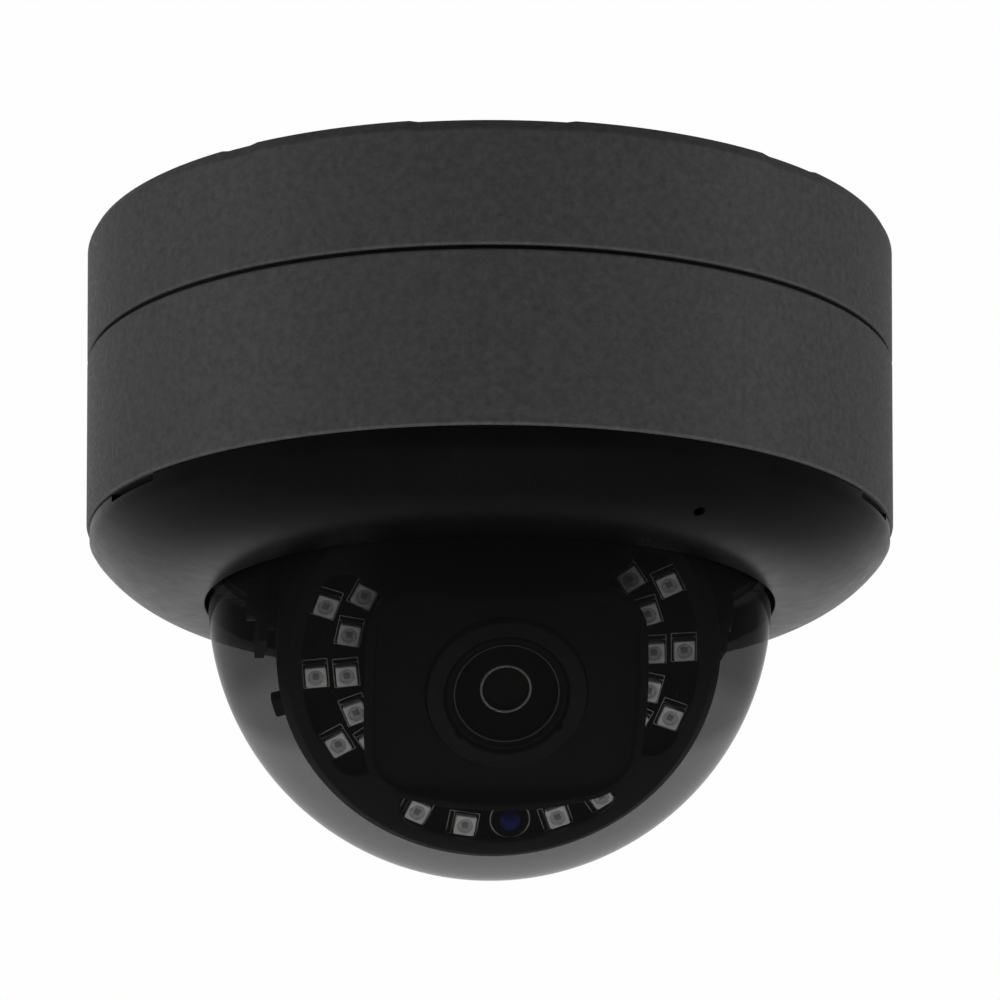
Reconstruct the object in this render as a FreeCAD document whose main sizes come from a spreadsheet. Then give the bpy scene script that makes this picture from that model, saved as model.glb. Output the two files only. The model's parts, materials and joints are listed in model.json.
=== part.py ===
import FreeCAD, Part
import math
import os
import Sketcher
from types import SimpleNamespace

# Dome camera for a ceiling. Millimetres, +Z up, origin at the centre of the ceiling face.
# Depths are positive distances below the ceiling. The camera looks towards -Y and downwards.
# Pieces of the camera module are drawn in the module's own frame, with +Z along the optical
# axis and the origin on the tilt axis, and are then turned into place.

DIMENSIONS = {
    # outer form
    "body_radius": 61.0,
    "body_draft": 0.8,
    "wall": 2.5,
    "base_height": 19.0,
    "base_edge": 1.5,
    "seam_gap": 0.6,
    "joint_edge": 0.4,
    "plate_thickness": 3.0,
    "housing_depth": 45.2,
    "cover_gap": 0.1,
    "cover_depth": 56.5,
    "cover_radius": 60.5,
    "cover_wall": 2.2,
    "bowl_radius": 21.0,
    "opening_radius": 42.9,
    "dome_radius": 42.5,
    "dome_wall": 2.5,
    "dome_drop": 55.0,
    "pivot_drop": 56.0,
    "flange_radius": 46.4,
    "flange_thickness": 2.0,
    # ceiling side
    "screw_circle": 42.0,
    "screw_hole": 2.3,
    "cable_bore": 5.5,
    "grommet_seat": 8.0,
    "gasket_inner": 53.0,
    "gasket_outer": 56.0,
    "gasket_depth": 1.0,
    "boss_circle": 52.0,
    "boss_radius": 4.0,
    "conduit_radius": 5.5,
    "conduit_depth": 10.5,
    "board_radius": 46.0,
    "board_thickness": 1.6,
    "board_depth": 13.0,
    "standoff_circle": 40.0,
    # pan table and yoke
    "hub_radius": 24.0,
    "hub_inner": 20.3,
    "running_gap": 0.05,
    "table_radius": 45.5,
    "table_top": 23.15,
    "table_thickness": 2.8,
    "arm_inner": 33.8,
    "arm_thickness": 1.4,
    "arm_half_width": 9.0,
    "arm_depth": 63.7,
    "arm_chamfer": 3.5,
    "foot_reach": 44.0,
    "foot_thickness": 1.8,
    "foot_hole": 1.1,
    "foot_hole_reach": 40.5,
    "pivot_radius": 2.0,
    # tilt ring and camera module
    "tilt_angle": 37.0,
    "roll_angle": 6.0,
    "ring_bore": 29.6,
    "ring_radius": 31.8,
    "shell_radius": 29.55,
    "shell_wall": 1.95,
    "shell_back": 20.5,
    "liner_radius": 32.8,
    "liner_ball": 37.9,
    "liner_front": 21.5,
    "liner_back": 7.0,
    "face_radius": 31.2,
    "board_front": 20.0,
    "led_size": 3.1,
    "led_height": 0.9,
    "led_outer_circle": 27.2,
    "led_inner_circle": 22.7,
    "sensor_circle": 26.3,
    "window_outer": 29.2,
    "side_window_inner": 18.5,
    "low_window_inner": 22.0,
    "window_corner": 4.0,
    "hood_half_width": 19.3,
    "hood_half_height": 15.6,
    "hood_corner": 6.0,
    "hood_flare": 13.0,
    "hood_turn": 4.5,
    "hood_offset": 1.0,
    "hood_back": 26.0,
    "hood_ball": 37.2,
    "hood_rim": 1.6,
    "rim_ball": 38.4,
    "plate_ball": 70.0,
    "plate_front": 33.4,
    "neck_radius": 15.5,
    "neck_bore": 12.2,
    "lens_ring_radius": 11.6,
    "barrel_radius": 8.8,
    "glass_radius": 7.6,
}

HOUSING_SCREW_ANGLES = (90, 210, 330)
QUARTER_ANGLES = (45, 135, 225, 315)
STANDOFF_ANGLES = (0, 90, 180, 270)
RIM_RELIEFS = ((-134.0, 5.0), (-105.0, 20.0), (-54.0, 9.0))
NOTCH_ANGLES = (-90 - 65.3, -90 + 65.3)
MICROPHONE_ANGLE = -90 + 28.0
FOOT_HOLE_SPOTS = (-5.5, 5.5)
OUTER_LED_ANGLES = (21.7, -1.3, -24.6, -59.2, -74.4, -103.9, -119.8, 157.0, 181.0, 205.4)
INNER_LED_ANGLES = (30.2, 14.2, -1.6, -17.1, -31.0, 148.7, 165.1, 181.7, 197.3, 211.0)
SENSOR_ANGLE = -89.5
ROLL_TAB_ANGLE = 192.5

X_AXIS = FreeCAD.Vector(1, 0, 0)
Y_AXIS = FreeCAD.Vector(0, 1, 0)
Z_AXIS = FreeCAD.Vector(0, 0, 1)

doc = FreeCAD.newDocument("DomeCamera")


class Size:
    """A length that carries both its value and the sheet expression it comes from."""

    def __init__(self, value, text):
        self.value = float(value)
        self.text = text

    def __add__(self, other):
        other = as_size(other)
        return Size(self.value + other.value, f"({self.text} + {other.text})")

    def __sub__(self, other):
        other = as_size(other)
        return Size(self.value - other.value, f"({self.text} - {other.text})")

    def __rsub__(self, other):
        return as_size(other) - self

    def __mul__(self, factor):
        return Size(self.value * factor, f"({self.text} * {factor})")

    def __neg__(self):
        return Size(-self.value, f"(-{self.text})")

    __radd__ = __add__
    __rmul__ = __mul__


def as_size(value):
    return value if isinstance(value, Size) else Size(value, f"{float(value):g}")


def make_sheet():
    """Write the driving dimensions into a spreadsheet and return them as named sizes."""
    sheet = doc.addObject("Spreadsheet::Sheet", "Dimensions")
    for row, (name, value) in enumerate(DIMENSIONS.items(), start=1):
        sheet.set(f"A{row}", name)
        sheet.set(f"B{row}", str(value))
        sheet.setAlias(f"B{row}", name)
    doc.recompute()
    named = {name: Size(value, f"Dimensions.{name}") for name, value in DIMENSIONS.items()}
    return SimpleNamespace(**named)


dim = make_sheet()
nodes = []


def polar(radius, degrees):
    """The two plane coordinates of a point on a circle."""
    radius = as_size(radius)
    turn = math.radians(degrees)
    across = Size(radius.value * math.cos(turn), f"({radius.text} * cos({degrees:g} deg))")
    along = Size(radius.value * math.sin(turn), f"({radius.text} * sin({degrees:g} deg))")
    return across, along


def ball_height(ball, radius):
    """Height of a sphere's surface above its centre, at a distance from its axis."""
    ball, radius = as_size(ball), as_size(radius)
    height = math.sqrt(ball.value ** 2 - radius.value ** 2)
    return Size(height, f"sqrt({ball.text} ^ 2 - {radius.text} ^ 2)")


def bind(item, path, value):
    item.setExpression(path, as_size(value).text)


def place(item, x=0, y=0, z=0, turn=None):
    """Put a primitive at a point given by sizes, turned by a rotation."""
    item.Placement = FreeCAD.Placement(FreeCAD.Vector(), turn or FreeCAD.Rotation())
    for letter, value in zip("xyz", (x, y, z)):
        bind(item, f"Placement.Base.{letter}", value)
    return item


# ---------------------------------------------------------------- building blocks

def rod(radius, height, x=0, y=0, z=0, turn=None):
    item = doc.addObject("Part::Cylinder", "Rod")
    bind(item, "Radius", radius)
    bind(item, "Height", height)
    return place(item, x, y, z, turn)


def rod_along_x(radius, start, length, y=0, z=0):
    return rod(radius, length, start, y, z, FreeCAD.Rotation(Y_AXIS, 90))


def block(width, depth, height, x=0, y=0, z=0):
    """A box centred in X and Y on a point, standing on it in Z."""
    item = doc.addObject("Part::Box", "Block")
    width, depth = as_size(width), as_size(depth)
    bind(item, "Length", width)
    bind(item, "Width", depth)
    bind(item, "Height", height)
    return place(item, as_size(x) - width * 0.5, as_size(y) - depth * 0.5, z)


def turned_block(width, depth, height, radius, degrees, z):
    """A box on a circle, turned to face outwards."""
    item = block(width, depth, height, radius, 0, z)
    carrier = doc.addObject("Part::Compound", "Turned")
    carrier.Links = [item]
    carrier.Placement = FreeCAD.Placement(FreeCAD.Vector(), FreeCAD.Rotation(Z_AXIS, degrees))
    return carrier


def ball(radius, z=0):
    item = doc.addObject("Part::Sphere", "Ball")
    bind(item, "Radius", radius)
    return place(item, 0, 0, z)


def fuse(*pieces):
    item = doc.addObject("Part::MultiFuse", "Fused")
    item.Shapes = list(pieces)
    item.Refine = True
    return item


def cut(base, *tools):
    item = doc.addObject("Part::Cut", "Cut")
    item.Base = base
    item.Tool = tools[0] if len(tools) == 1 else group(*tools)
    item.Refine = True
    return item


def common(first, second):
    item = doc.addObject("Part::Common", "Common")
    item.Base = first
    item.Tool = second
    return item


def group(*pieces):
    item = doc.addObject("Part::Compound", "Group")
    item.Links = list(pieces)
    return item


def origin_plane(body, role):
    return next(part for part in body.Origin.OriginFeatures if part.Role == role)


def arc_between(start, end, radius):
    """Arc of a signed radius from start to end: positive bulges to the right of the way."""
    chord = end - start
    middle = (start + end) * 0.5
    side = FreeCAD.Vector(chord.y, -chord.x, 0).normalize()
    reach = math.sqrt(radius ** 2 - (chord.Length / 2) ** 2)
    centre = middle - side * math.copysign(reach, radius)
    return Part.Arc(start, centre + side * radius, end)


def draw_outline(sketch, corners):
    """Closed outline: each corner is (x, y), or (x, y, radius) where an arc leaves it."""
    points = [FreeCAD.Vector(as_size(c[0]).value, as_size(c[1]).value, 0) for c in corners]
    count = len(corners)
    starts = {}
    for index, corner in enumerate(corners):
        start, end = points[index], points[(index + 1) % count]
        if len(corner) == 3:
            radius = as_size(corner[2])
            arc = arc_between(start, end, radius.value)
            edge = sketch.addGeometry(arc)
            forward = sketch.getPoint(edge, 1).distanceToPoint(start) < 1e-6
            starts[index] = (edge, 1, 2) if forward else (edge, 2, 1)
            bound = Size(abs(radius.value), radius.text if radius.value > 0 else f"(-{radius.text})")
            mark = sketch.addConstraint(Sketcher.Constraint("Radius", edge, bound.value))
            sketch.setExpression(f"Constraints[{mark}]", bound.text)
        else:
            edge = sketch.addGeometry(Part.LineSegment(start, end))
            starts[index] = (edge, 1, 2)
    for index, corner in enumerate(corners):
        edge, first, last = starts[index]
        following, next_first, _ = starts[(index + 1) % count]
        sketch.addConstraint(Sketcher.Constraint("Coincident", edge, last, following, next_first))
        for kind, axis, value in (("DistanceX", -2, corner[0]), ("DistanceY", -1, corner[1])):
            value = as_size(value)
            if abs(value.value) < 1e-9:
                sketch.addConstraint(Sketcher.Constraint("PointOnObject", edge, first, axis))
                continue
            mark = sketch.addConstraint(Sketcher.Constraint(kind, -1, 1, edge, first, value.value))
            sketch.setExpression(f"Constraints[{mark}]", value.text)


def turned(*corners):
    """A body turned about Z from an outline of (radius, height) corners."""
    body = doc.addObject("PartDesign::Body", "Turning")
    sketch = body.newObject("Sketcher::SketchObject", "Profile")
    sketch.AttachmentSupport = (origin_plane(body, "XZ_Plane"), [""])
    sketch.MapMode = "FlatFace"
    draw_outline(sketch, corners)
    turning = body.newObject("PartDesign::Revolution", "Revolution")
    turning.Profile = sketch
    turning.ReferenceAxis = (sketch, ["V_Axis"])
    turning.Angle = 360
    return body


def washer(inner, outer, low, high):
    """A flat ring between two radii and two heights."""
    return turned((inner, low), (outer, low), (outer, high), (inner, high))


def flared_prism(half_width, half_height, corner, low, high):
    """An upright block with a rounded rectangular outline that flares a little upwards."""
    body = doc.addObject("PartDesign::Body", "Prism")
    sketch = body.newObject("Sketcher::SketchObject", "Outline")
    sketch.AttachmentSupport = (origin_plane(body, "XY_Plane"), [""])
    sketch.MapMode = "FlatFace"
    inner_width, inner_height = half_width - corner, half_height - corner
    draw_outline(sketch, [
        (-inner_width, -half_height),
        (inner_width, -half_height, corner),
        (half_width, -inner_height),
        (half_width, inner_height, corner),
        (inner_width, half_height),
        (-inner_width, half_height, corner),
        (-half_width, inner_height),
        (-half_width, -inner_height, corner),
    ])
    pad = body.newObject("PartDesign::Pad", "Pad")
    pad.Profile = sketch
    bind(pad, "Length", as_size(high) - low)
    bind(pad, "TaperAngle", dim.hood_flare)
    bind(sketch, "AttachmentOffset.Base.y", -dim.hood_offset)
    bind(sketch, "AttachmentOffset.Base.z", low)
    return body


def sector(inner, outer, start, sweep, low, height):
    """A piece of a flat ring between two angles."""
    wedge = rod(outer, height, 0, 0, low, FreeCAD.Rotation(Z_AXIS, start))
    wedge.Angle = sweep
    return cut(wedge, rod(inner, as_size(height) + 2, 0, 0, as_size(low) - 1))


def arc_window(inner, outer, corner, start, end, low, height):
    """A sector with rounded corners. Each corner is a rod that touches both of its sides."""
    outer_ring, inner_ring = outer - corner, inner + corner
    outer_turn = math.degrees(math.asin(corner.value / outer_ring.value))
    inner_turn = math.degrees(math.asin(corner.value / inner_ring.value))
    pieces = [sector(inner, inner_ring, start + inner_turn, end - start - 2 * inner_turn, low, height),
              sector(outer_ring, outer, start + outer_turn, end - start - 2 * outer_turn, low, height)]
    if inner_ring.value < outer_ring.value:
        pieces.append(sector(inner_ring, outer_ring, start, end - start, low, height))
    for ring, turn in ((inner_ring, inner_turn), (outer_ring, outer_turn)):
        for angle in (start + turn, end - turn):
            pieces.append(rod(corner, height, *polar(ring, angle), low))
    return fuse(*pieces)


def screws(spots, head_radius, head_height, shank_radius, shank_length, face, upwards=True):
    """Screws at several places. The head lies against the face, the shank goes through it."""
    pieces = []
    for x, y in spots:
        head_low = face - head_height if upwards else face
        shank_low = face if upwards else face - shank_length
        slot_low = head_low if upwards else as_size(head_low) + head_height * 0.5
        head = rod(head_radius, head_height, x, y, head_low)
        shank = rod(shank_radius, shank_length, x, y, shank_low)
        slot = block(head_radius * 1.5, 0.6, head_height * 0.5, x, y, slot_low)
        pieces.append(cut(fuse(head, shank), slot))
    return group(*pieces)


def circle_spots(radius, angles):
    return [polar(radius, angle) for angle in angles]


def node(name, item, frame=None):
    """Name a finished piece and turn it into its frame."""
    if frame:
        item = group(item)
        item.Placement = frame
    item.Label = name
    nodes.append((name, item))
    return item


# ---------------------------------------------------------------- ceiling side of the housing

def body_radius_at(depth):
    """Outer radius of the cast body, which tapers a little from the ceiling to its lower rim."""
    share = 1 - as_size(depth).value / dim.housing_depth.value
    return dim.body_radius + dim.body_draft * round(share, 4)


def make_mount_base():
    wall_inner = dim.body_radius - dim.wall
    cup = turned(
        (dim.grommet_seat, 0),
        (body_radius_at(0) - dim.base_edge, 0),
        (body_radius_at(dim.base_edge), -dim.base_edge),
        (body_radius_at(dim.base_height), -(dim.base_height - dim.joint_edge)),
        (body_radius_at(dim.base_height) - dim.joint_edge, -dim.base_height),
        (wall_inner, -dim.base_height),
        (wall_inner, -dim.plate_thickness),
        (dim.grommet_seat, -dim.plate_thickness),
    )
    boss_height = dim.base_height - dim.plate_thickness * 0.5
    bosses = [rod(dim.boss_radius, boss_height, x, y, -dim.base_height)
              for x, y in circle_spots(dim.boss_circle, HOUSING_SCREW_ANGLES)]
    conduit_turn = FreeCAD.Rotation(X_AXIS, -90)
    conduit_boss = rod(dim.conduit_radius + 1.2, 4, 0, 55.5, -dim.conduit_depth, conduit_turn)
    groove = washer(dim.gasket_inner, dim.gasket_outer, -dim.gasket_depth, 1)
    threads = [rod(1.5, 10, x, y, -(dim.base_height + 1))
               for x, y in circle_spots(dim.boss_circle, HOUSING_SCREW_ANGLES)]
    fixing_holes = [rod(dim.screw_hole, dim.plate_thickness + 2, x, y, -(dim.plate_thickness + 1))
                    for x, y in circle_spots(dim.screw_circle, QUARTER_ANGLES)]
    conduit_hole = rod(dim.conduit_radius, 12, 0, 52, -dim.conduit_depth, conduit_turn)
    reliefs = [rim_relief(start, sweep) for start, sweep in RIM_RELIEFS]
    solid = fuse(cup, conduit_boss, *bosses)
    node("mount_base", cut(solid, groove, conduit_hole, *threads, *fixing_holes, *reliefs))


def rim_relief(start, sweep):
    """A shallow step in the upper rim, where the rim is a little lower."""
    wedge = rod(dim.body_radius + 2, 2, 0, 0, -0.25, FreeCAD.Rotation(Z_AXIS, start))
    wedge.Angle = sweep
    return cut(wedge, rod(dim.body_radius - 3, 4, 0, 0, -1))


def make_ceiling_pieces():
    node("ceiling_gasket", washer(dim.gasket_inner, dim.gasket_outer, -dim.gasket_depth, 0))
    grommet_low = -(dim.plate_thickness + 1.5)
    node("cable_grommet", turned(
        (dim.cable_bore, grommet_low),
        (dim.grommet_seat + 2, grommet_low),
        (dim.grommet_seat + 2, -dim.plate_thickness),
        (dim.grommet_seat, -dim.plate_thickness),
        (dim.grommet_seat, 0),
        (dim.cable_bore, 0),
    ))
    conduit_turn = FreeCAD.Rotation(X_AXIS, -90)
    plug = rod(dim.conduit_radius - 0.05, 5, 0, 55.4, -dim.conduit_depth, conduit_turn)
    coin_slot = block(7, 2, 1.4, 0, 60.4, -dim.conduit_depth - 0.7)
    node("conduit_plug", cut(plug, coin_slot))


def make_main_housing():
    top = -(dim.base_height + dim.seam_gap)
    plate_low = top - dim.wall
    wall_inner = dim.body_radius - dim.wall
    bottom = -dim.housing_depth
    spigot_outer = wall_inner - 0.3
    spigot_inner = spigot_outer - 1.8
    bore = dim.hub_radius + dim.running_gap
    upper_radius = body_radius_at(-top)
    shell = turned(
        (bore, top),
        (spigot_inner, top),
        (spigot_inner, top + 2),
        (spigot_outer, top + 2),
        (spigot_outer, top),
        (upper_radius - dim.joint_edge, top),
        (upper_radius, top - dim.joint_edge),
        (dim.body_radius, bottom + dim.joint_edge),
        (dim.body_radius - dim.joint_edge, bottom),
        (wall_inner, bottom),
        (wall_inner, plate_low),
        (bore, plate_low),
    )
    holes = [rod(1.7, dim.wall + 2, x, y, plate_low - 1)
             for x, y in circle_spots(dim.boss_circle, HOUSING_SCREW_ANGLES)]
    node("main_housing", cut(shell, *holes))
    node("seam_gasket", washer(spigot_outer + 0.4, upper_radius - 0.8, top, top + dim.seam_gap))
    node("housing_screws", screws(circle_spots(dim.boss_circle, HOUSING_SCREW_ANGLES),
                                  2.8, 2.2, 1.45, 9.0, plate_low))


def make_main_board():
    plate_top = -(dim.base_height + dim.seam_gap)
    low = -dim.board_depth
    top = low + dim.board_thickness
    spots = circle_spots(dim.standoff_circle, STANDOFF_ANGLES)
    board = washer(12, dim.board_radius, low, top)
    node("main_board", cut(board, *[rod(1.6, 4, x, y, low - 1) for x, y in spots]))
    standoff_height = low - plate_top
    node("board_standoffs", group(*[
        cut(rod(2.5, standoff_height, x, y, plate_top), rod(1.25, 5, x, y, low - 4))
        for x, y in spots]))
    node("board_screws", screws(spots, 2.3, 1.4, 1.2, 4.5, top, upwards=False))
    node("board_connectors", group(
        block(14, 6, 4.5, 0, 30, top),
        block(10, 6, 4.5, -24, 18, top),
        block(6, 12, 4.5, 30, 10, top),
    ))
    node("network_transformer", block(16, 12, 5.5, -20, -18, top))
    node("power_coils", group(*[rod(4, 5, x, -24, top) for x in (8, 19)]))


# ---------------------------------------------------------------- pan table and yoke

def make_pan_table():
    plate_top = -(dim.base_height + dim.seam_gap)
    hub_top = plate_top + 0.3
    table_top = -dim.table_top
    table_low = table_top - dim.table_thickness
    spots = circle_spots(22.2, HOUSING_SCREW_ANGLES)
    reach = dim.foot_hole_reach
    yoke_spots = [(x, y) for x in (-reach, reach) for y in FOOT_HOLE_SPOTS]
    table = turned(
        (dim.hub_inner, table_low),
        (dim.table_radius, table_low),
        (dim.table_radius, table_top),
        (dim.hub_radius, table_top),
        (dim.hub_radius, hub_top),
        (dim.hub_inner, hub_top),
    )
    holes = [rod(1, 6, x, y, hub_top - 4) for x, y in spots]
    holes += [rod(1, 6, x, y, table_low - 2) for x, y in yoke_spots]
    node("pan_table", cut(table, *holes))
    clamp = washer(dim.hub_inner, dim.hub_radius + 4, hub_top, hub_top + 1.8)
    node("pan_clamp_ring", cut(clamp, *[rod(1.1, 4, x, y, hub_top - 1) for x, y in spots]))
    node("pan_clamp_screws", screws(spots, 1.8, 1.1, 0.95, 5.0, hub_top + 1.8, upwards=False))
    slip_top = plate_top - dim.wall
    node("pan_slip_ring", washer(27, 43, slip_top - 0.95, slip_top))
    foot_low = table_low - dim.foot_thickness
    node("yoke_screws", screws(yoke_spots, 2.0, 1.3, 0.95, 4.2, foot_low))


def make_yoke_arm(name, side):
    """An angle plate: its foot is screwed under the pan table, its plate carries the tilt pivot."""
    table_low = -(dim.table_top + dim.table_thickness)
    width = dim.arm_half_width * 2
    height = dim.arm_depth + table_low
    middle = (dim.arm_inner + dim.arm_thickness * 0.5) * side
    plate = block(dim.arm_thickness, width, height, middle, 0, -dim.arm_depth)
    trimmed = common(plate, arm_diamond(middle, table_low, height))
    foot_length = dim.foot_reach - dim.arm_inner
    foot = block(foot_length, width, dim.foot_thickness, (dim.arm_inner + foot_length * 0.5) * side,
                 0, table_low - dim.foot_thickness)
    start = (dim.arm_inner - 2) if side > 0 else -(dim.arm_inner + dim.arm_thickness + 2)
    bore = rod_along_x(dim.pivot_radius + dim.running_gap, start, dim.arm_thickness + 4,
                       0, -dim.pivot_drop)
    holes = [rod(dim.foot_hole, dim.foot_thickness + 2, dim.foot_hole_reach * side, y,
                 table_low - dim.foot_thickness - 1) for y in FOOT_HOLE_SPOTS]
    node(name, cut(fuse(trimmed, foot), bore, *holes))


def arm_diamond(middle, top, height):
    """A square bar standing on its edge, whose lower flanks chamfer the corners of a yoke arm."""
    side = (dim.arm_half_width - dim.arm_chamfer + height) * math.sqrt(2)
    bar = block(dim.arm_thickness + 2, side, side, 0, 0, side * -0.5)
    carrier = group(bar)
    return place(carrier, middle, 0, top, FreeCAD.Rotation(X_AXIS, 45))


# ---------------------------------------------------------------- tilt ring

def make_tilt_ring(frame):
    back, front = -4.0, dim.liner_back - 0.3
    boss_end = dim.arm_inner - 0.1
    boss_start = dim.ring_bore + 0.8
    length = boss_end - boss_start
    ring = washer(dim.ring_bore, dim.ring_radius, back, front)
    bosses = [rod_along_x(4.5, boss_start, length), rod_along_x(4.5, -boss_end, length)]
    bore_length = boss_end + 1 - dim.ring_bore
    bores = [rod_along_x(dim.pivot_radius + dim.running_gap, start, bore_length)
             for start in (dim.ring_bore - 0.5, -(boss_end + 0.5))]
    clear = rod(dim.ring_bore, 20, 0, 0, -10)
    node("tilt_ring", cut(fuse(ring, *bosses), clear, *bores), frame)

    arm_outer = dim.arm_inner + dim.arm_thickness
    head_start = arm_outer + 0.1
    shank_start = dim.ring_bore + 0.4
    pivots = []
    for side in (-1, 1):
        shank_length = head_start - shank_start
        shank_from = shank_start if side > 0 else -head_start
        head_from = head_start if side > 0 else -(head_start + 1.4)
        slot_from = (head_start + 1.1) * side
        shank = rod_along_x(dim.pivot_radius, shank_from, shank_length)
        head = rod_along_x(3.2, head_from, 1.4)
        slot = block(0.7, 4.6, 0.8, slot_from, 0, -0.4)
        pivots.append(cut(fuse(shank, head), slot))
    node("tilt_pivots", group(*pivots), frame)


# ---------------------------------------------------------------- camera module: shell and liner

def make_rear_shell(frame):
    inner = dim.shell_radius - dim.shell_wall
    groove_radius = dim.shell_radius - 0.75
    back = -dim.shell_back
    shell = turned(
        (0, back),
        (20.5, back),
        (dim.shell_radius, -6.5),
        (dim.shell_radius, -5.3),
        (groove_radius, -5.3),
        (groove_radius, -4.3),
        (dim.shell_radius, -4.3),
        (dim.shell_radius, dim.liner_back),
        (inner, dim.liner_back),
        (inner, -5.6),
        (19.3, back + 2),
        (0, back + 2),
    )
    spots = circle_spots(25.0, HOUSING_SCREW_ANGLES)
    bosses = [rod(2.9, 9, x, y, dim.liner_back - 9) for x, y in spots]
    threads = [rod(1.0, 6, x, y, dim.liner_back - 5) for x, y in spots]
    node("rear_shell", cut(fuse(shell, *bosses), *threads), frame)
    clip = washer(groove_radius, dim.ring_bore + 0.7, -5.3, -4.3)
    node("roll_retaining_ring", cut(clip, block(12, 6, 3, -30, 0, -6)), frame)
    node("liner_screws", screws(spots, 1.9, 1.2, 0.95, 5.0, dim.liner_back + 1.4, upwards=False),
         frame)


def make_front_liner(frame):
    side_inner = dim.liner_radius - 1.1
    shoulder = ball_height(dim.liner_ball, dim.liner_radius)
    cup = turned(
        (22, dim.liner_back),
        (dim.liner_radius, dim.liner_back),
        (dim.liner_radius, shoulder, dim.liner_ball),
        (dim.face_radius, dim.liner_front),
        (17.0, dim.liner_front),
        (17.0, dim.liner_front - 0.7),
        (16.0, dim.liner_front - 0.7),
        (16.0, dim.board_front),
        (30.4, dim.board_front),
        (side_inner, shoulder - 0.4),
        (side_inner, dim.liner_back + 1.4),
        (22, dim.liner_back + 1.4),
    )
    low = dim.board_front - 0.5
    height = dim.liner_front - low + 0.5
    windows = [arc_window(inner, dim.window_outer, dim.window_corner, start, end, low, height)
               for inner, start, end in ((dim.side_window_inner, -40, 37),
                                         (dim.side_window_inner, 143, 219),
                                         (dim.low_window_inner, -128, -52))]
    holes = [rod(1.1, 4, x, y, dim.liner_back - 1)
             for x, y in circle_spots(25.0, HOUSING_SCREW_ANGLES)]
    tab = turned_block(3.0, 3.0, 3.0, dim.liner_radius + 0.3, ROLL_TAB_ANGLE, 12.5)
    node("front_liner", fuse(cut(cup, *windows, *holes), tab), frame)


# ---------------------------------------------------------------- camera module: lights

def led_spots():
    outer = [(dim.led_outer_circle, angle) for angle in OUTER_LED_ANGLES]
    inner = [(dim.led_inner_circle, angle) for angle in INNER_LED_ANGLES]
    return outer + inner


def make_led_board(frame):
    low = dim.board_front - dim.board_thickness
    node("led_board", washer(17.6, 30.1, low, dim.board_front), frame)
    packages = [turned_block(dim.led_size, dim.led_size, dim.led_height, radius, angle,
                             dim.board_front)
                for radius, angle in led_spots()]
    node("led_packages", group(*packages), frame)
    lenses = [led_lens(*polar(radius, angle), dim.board_front + dim.led_height)
              for radius, angle in led_spots()]
    node("led_lenses", group(*lenses), frame)
    x, y = polar(dim.sensor_circle, SENSOR_ANGLE)
    sensor = fuse(rod(1.5, 0.7, x, y, dim.board_front),
                  led_lens(x, y, dim.board_front + 0.7, 1.5))
    node("light_sensor", sensor, frame)


def led_lens(x, y, z, base_radius=1.3):
    """A low spherical cap standing on a circle."""
    ball_radius = base_radius * 1.45
    edge_height = math.sqrt(ball_radius ** 2 - base_radius ** 2)
    item = doc.addObject("Part::Sphere", "Cap")
    bind(item, "Radius", ball_radius)
    item.Angle1 = math.degrees(math.atan2(edge_height, base_radius))
    return place(item, x, y, as_size(z) - edge_height)


# ---------------------------------------------------------------- camera module: hood and lens

def make_hood(frame):
    rim = dim.hood_rim
    outer = flared_prism(dim.hood_half_width, dim.hood_half_height, dim.hood_corner,
                          dim.hood_back, 42)
    pocket = flared_prism(dim.hood_half_width - rim, dim.hood_half_height - rim,
                           dim.hood_corner - rim, dim.hood_back - 2, 44)
    plate_ball = ball(dim.plate_ball, dim.plate_front - dim.plate_ball)
    head = common(outer, ball(dim.hood_ball))
    hollow = cut(pocket, plate_ball)
    neck = rod(dim.neck_radius, dim.hood_back - 13.5, 0, 0, 14)
    bore = rod(dim.neck_bore - 0.4, 40, 0, 0, 10)
    node("lens_hood", cut(fuse(head, neck), hollow, bore), frame)

    rim_outer = flared_prism(dim.hood_half_width, dim.hood_half_height, dim.hood_corner,
                              dim.hood_back, 42)
    rim_inner = flared_prism(dim.hood_half_width - rim, dim.hood_half_height - rim,
                              dim.hood_corner - rim, dim.hood_back - 2, 44)
    rim_solid = common(rim_outer, ball(dim.rim_ball))
    node("hood_gasket", cut(rim_solid, rim_inner, ball(dim.hood_ball)), frame)


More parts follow.
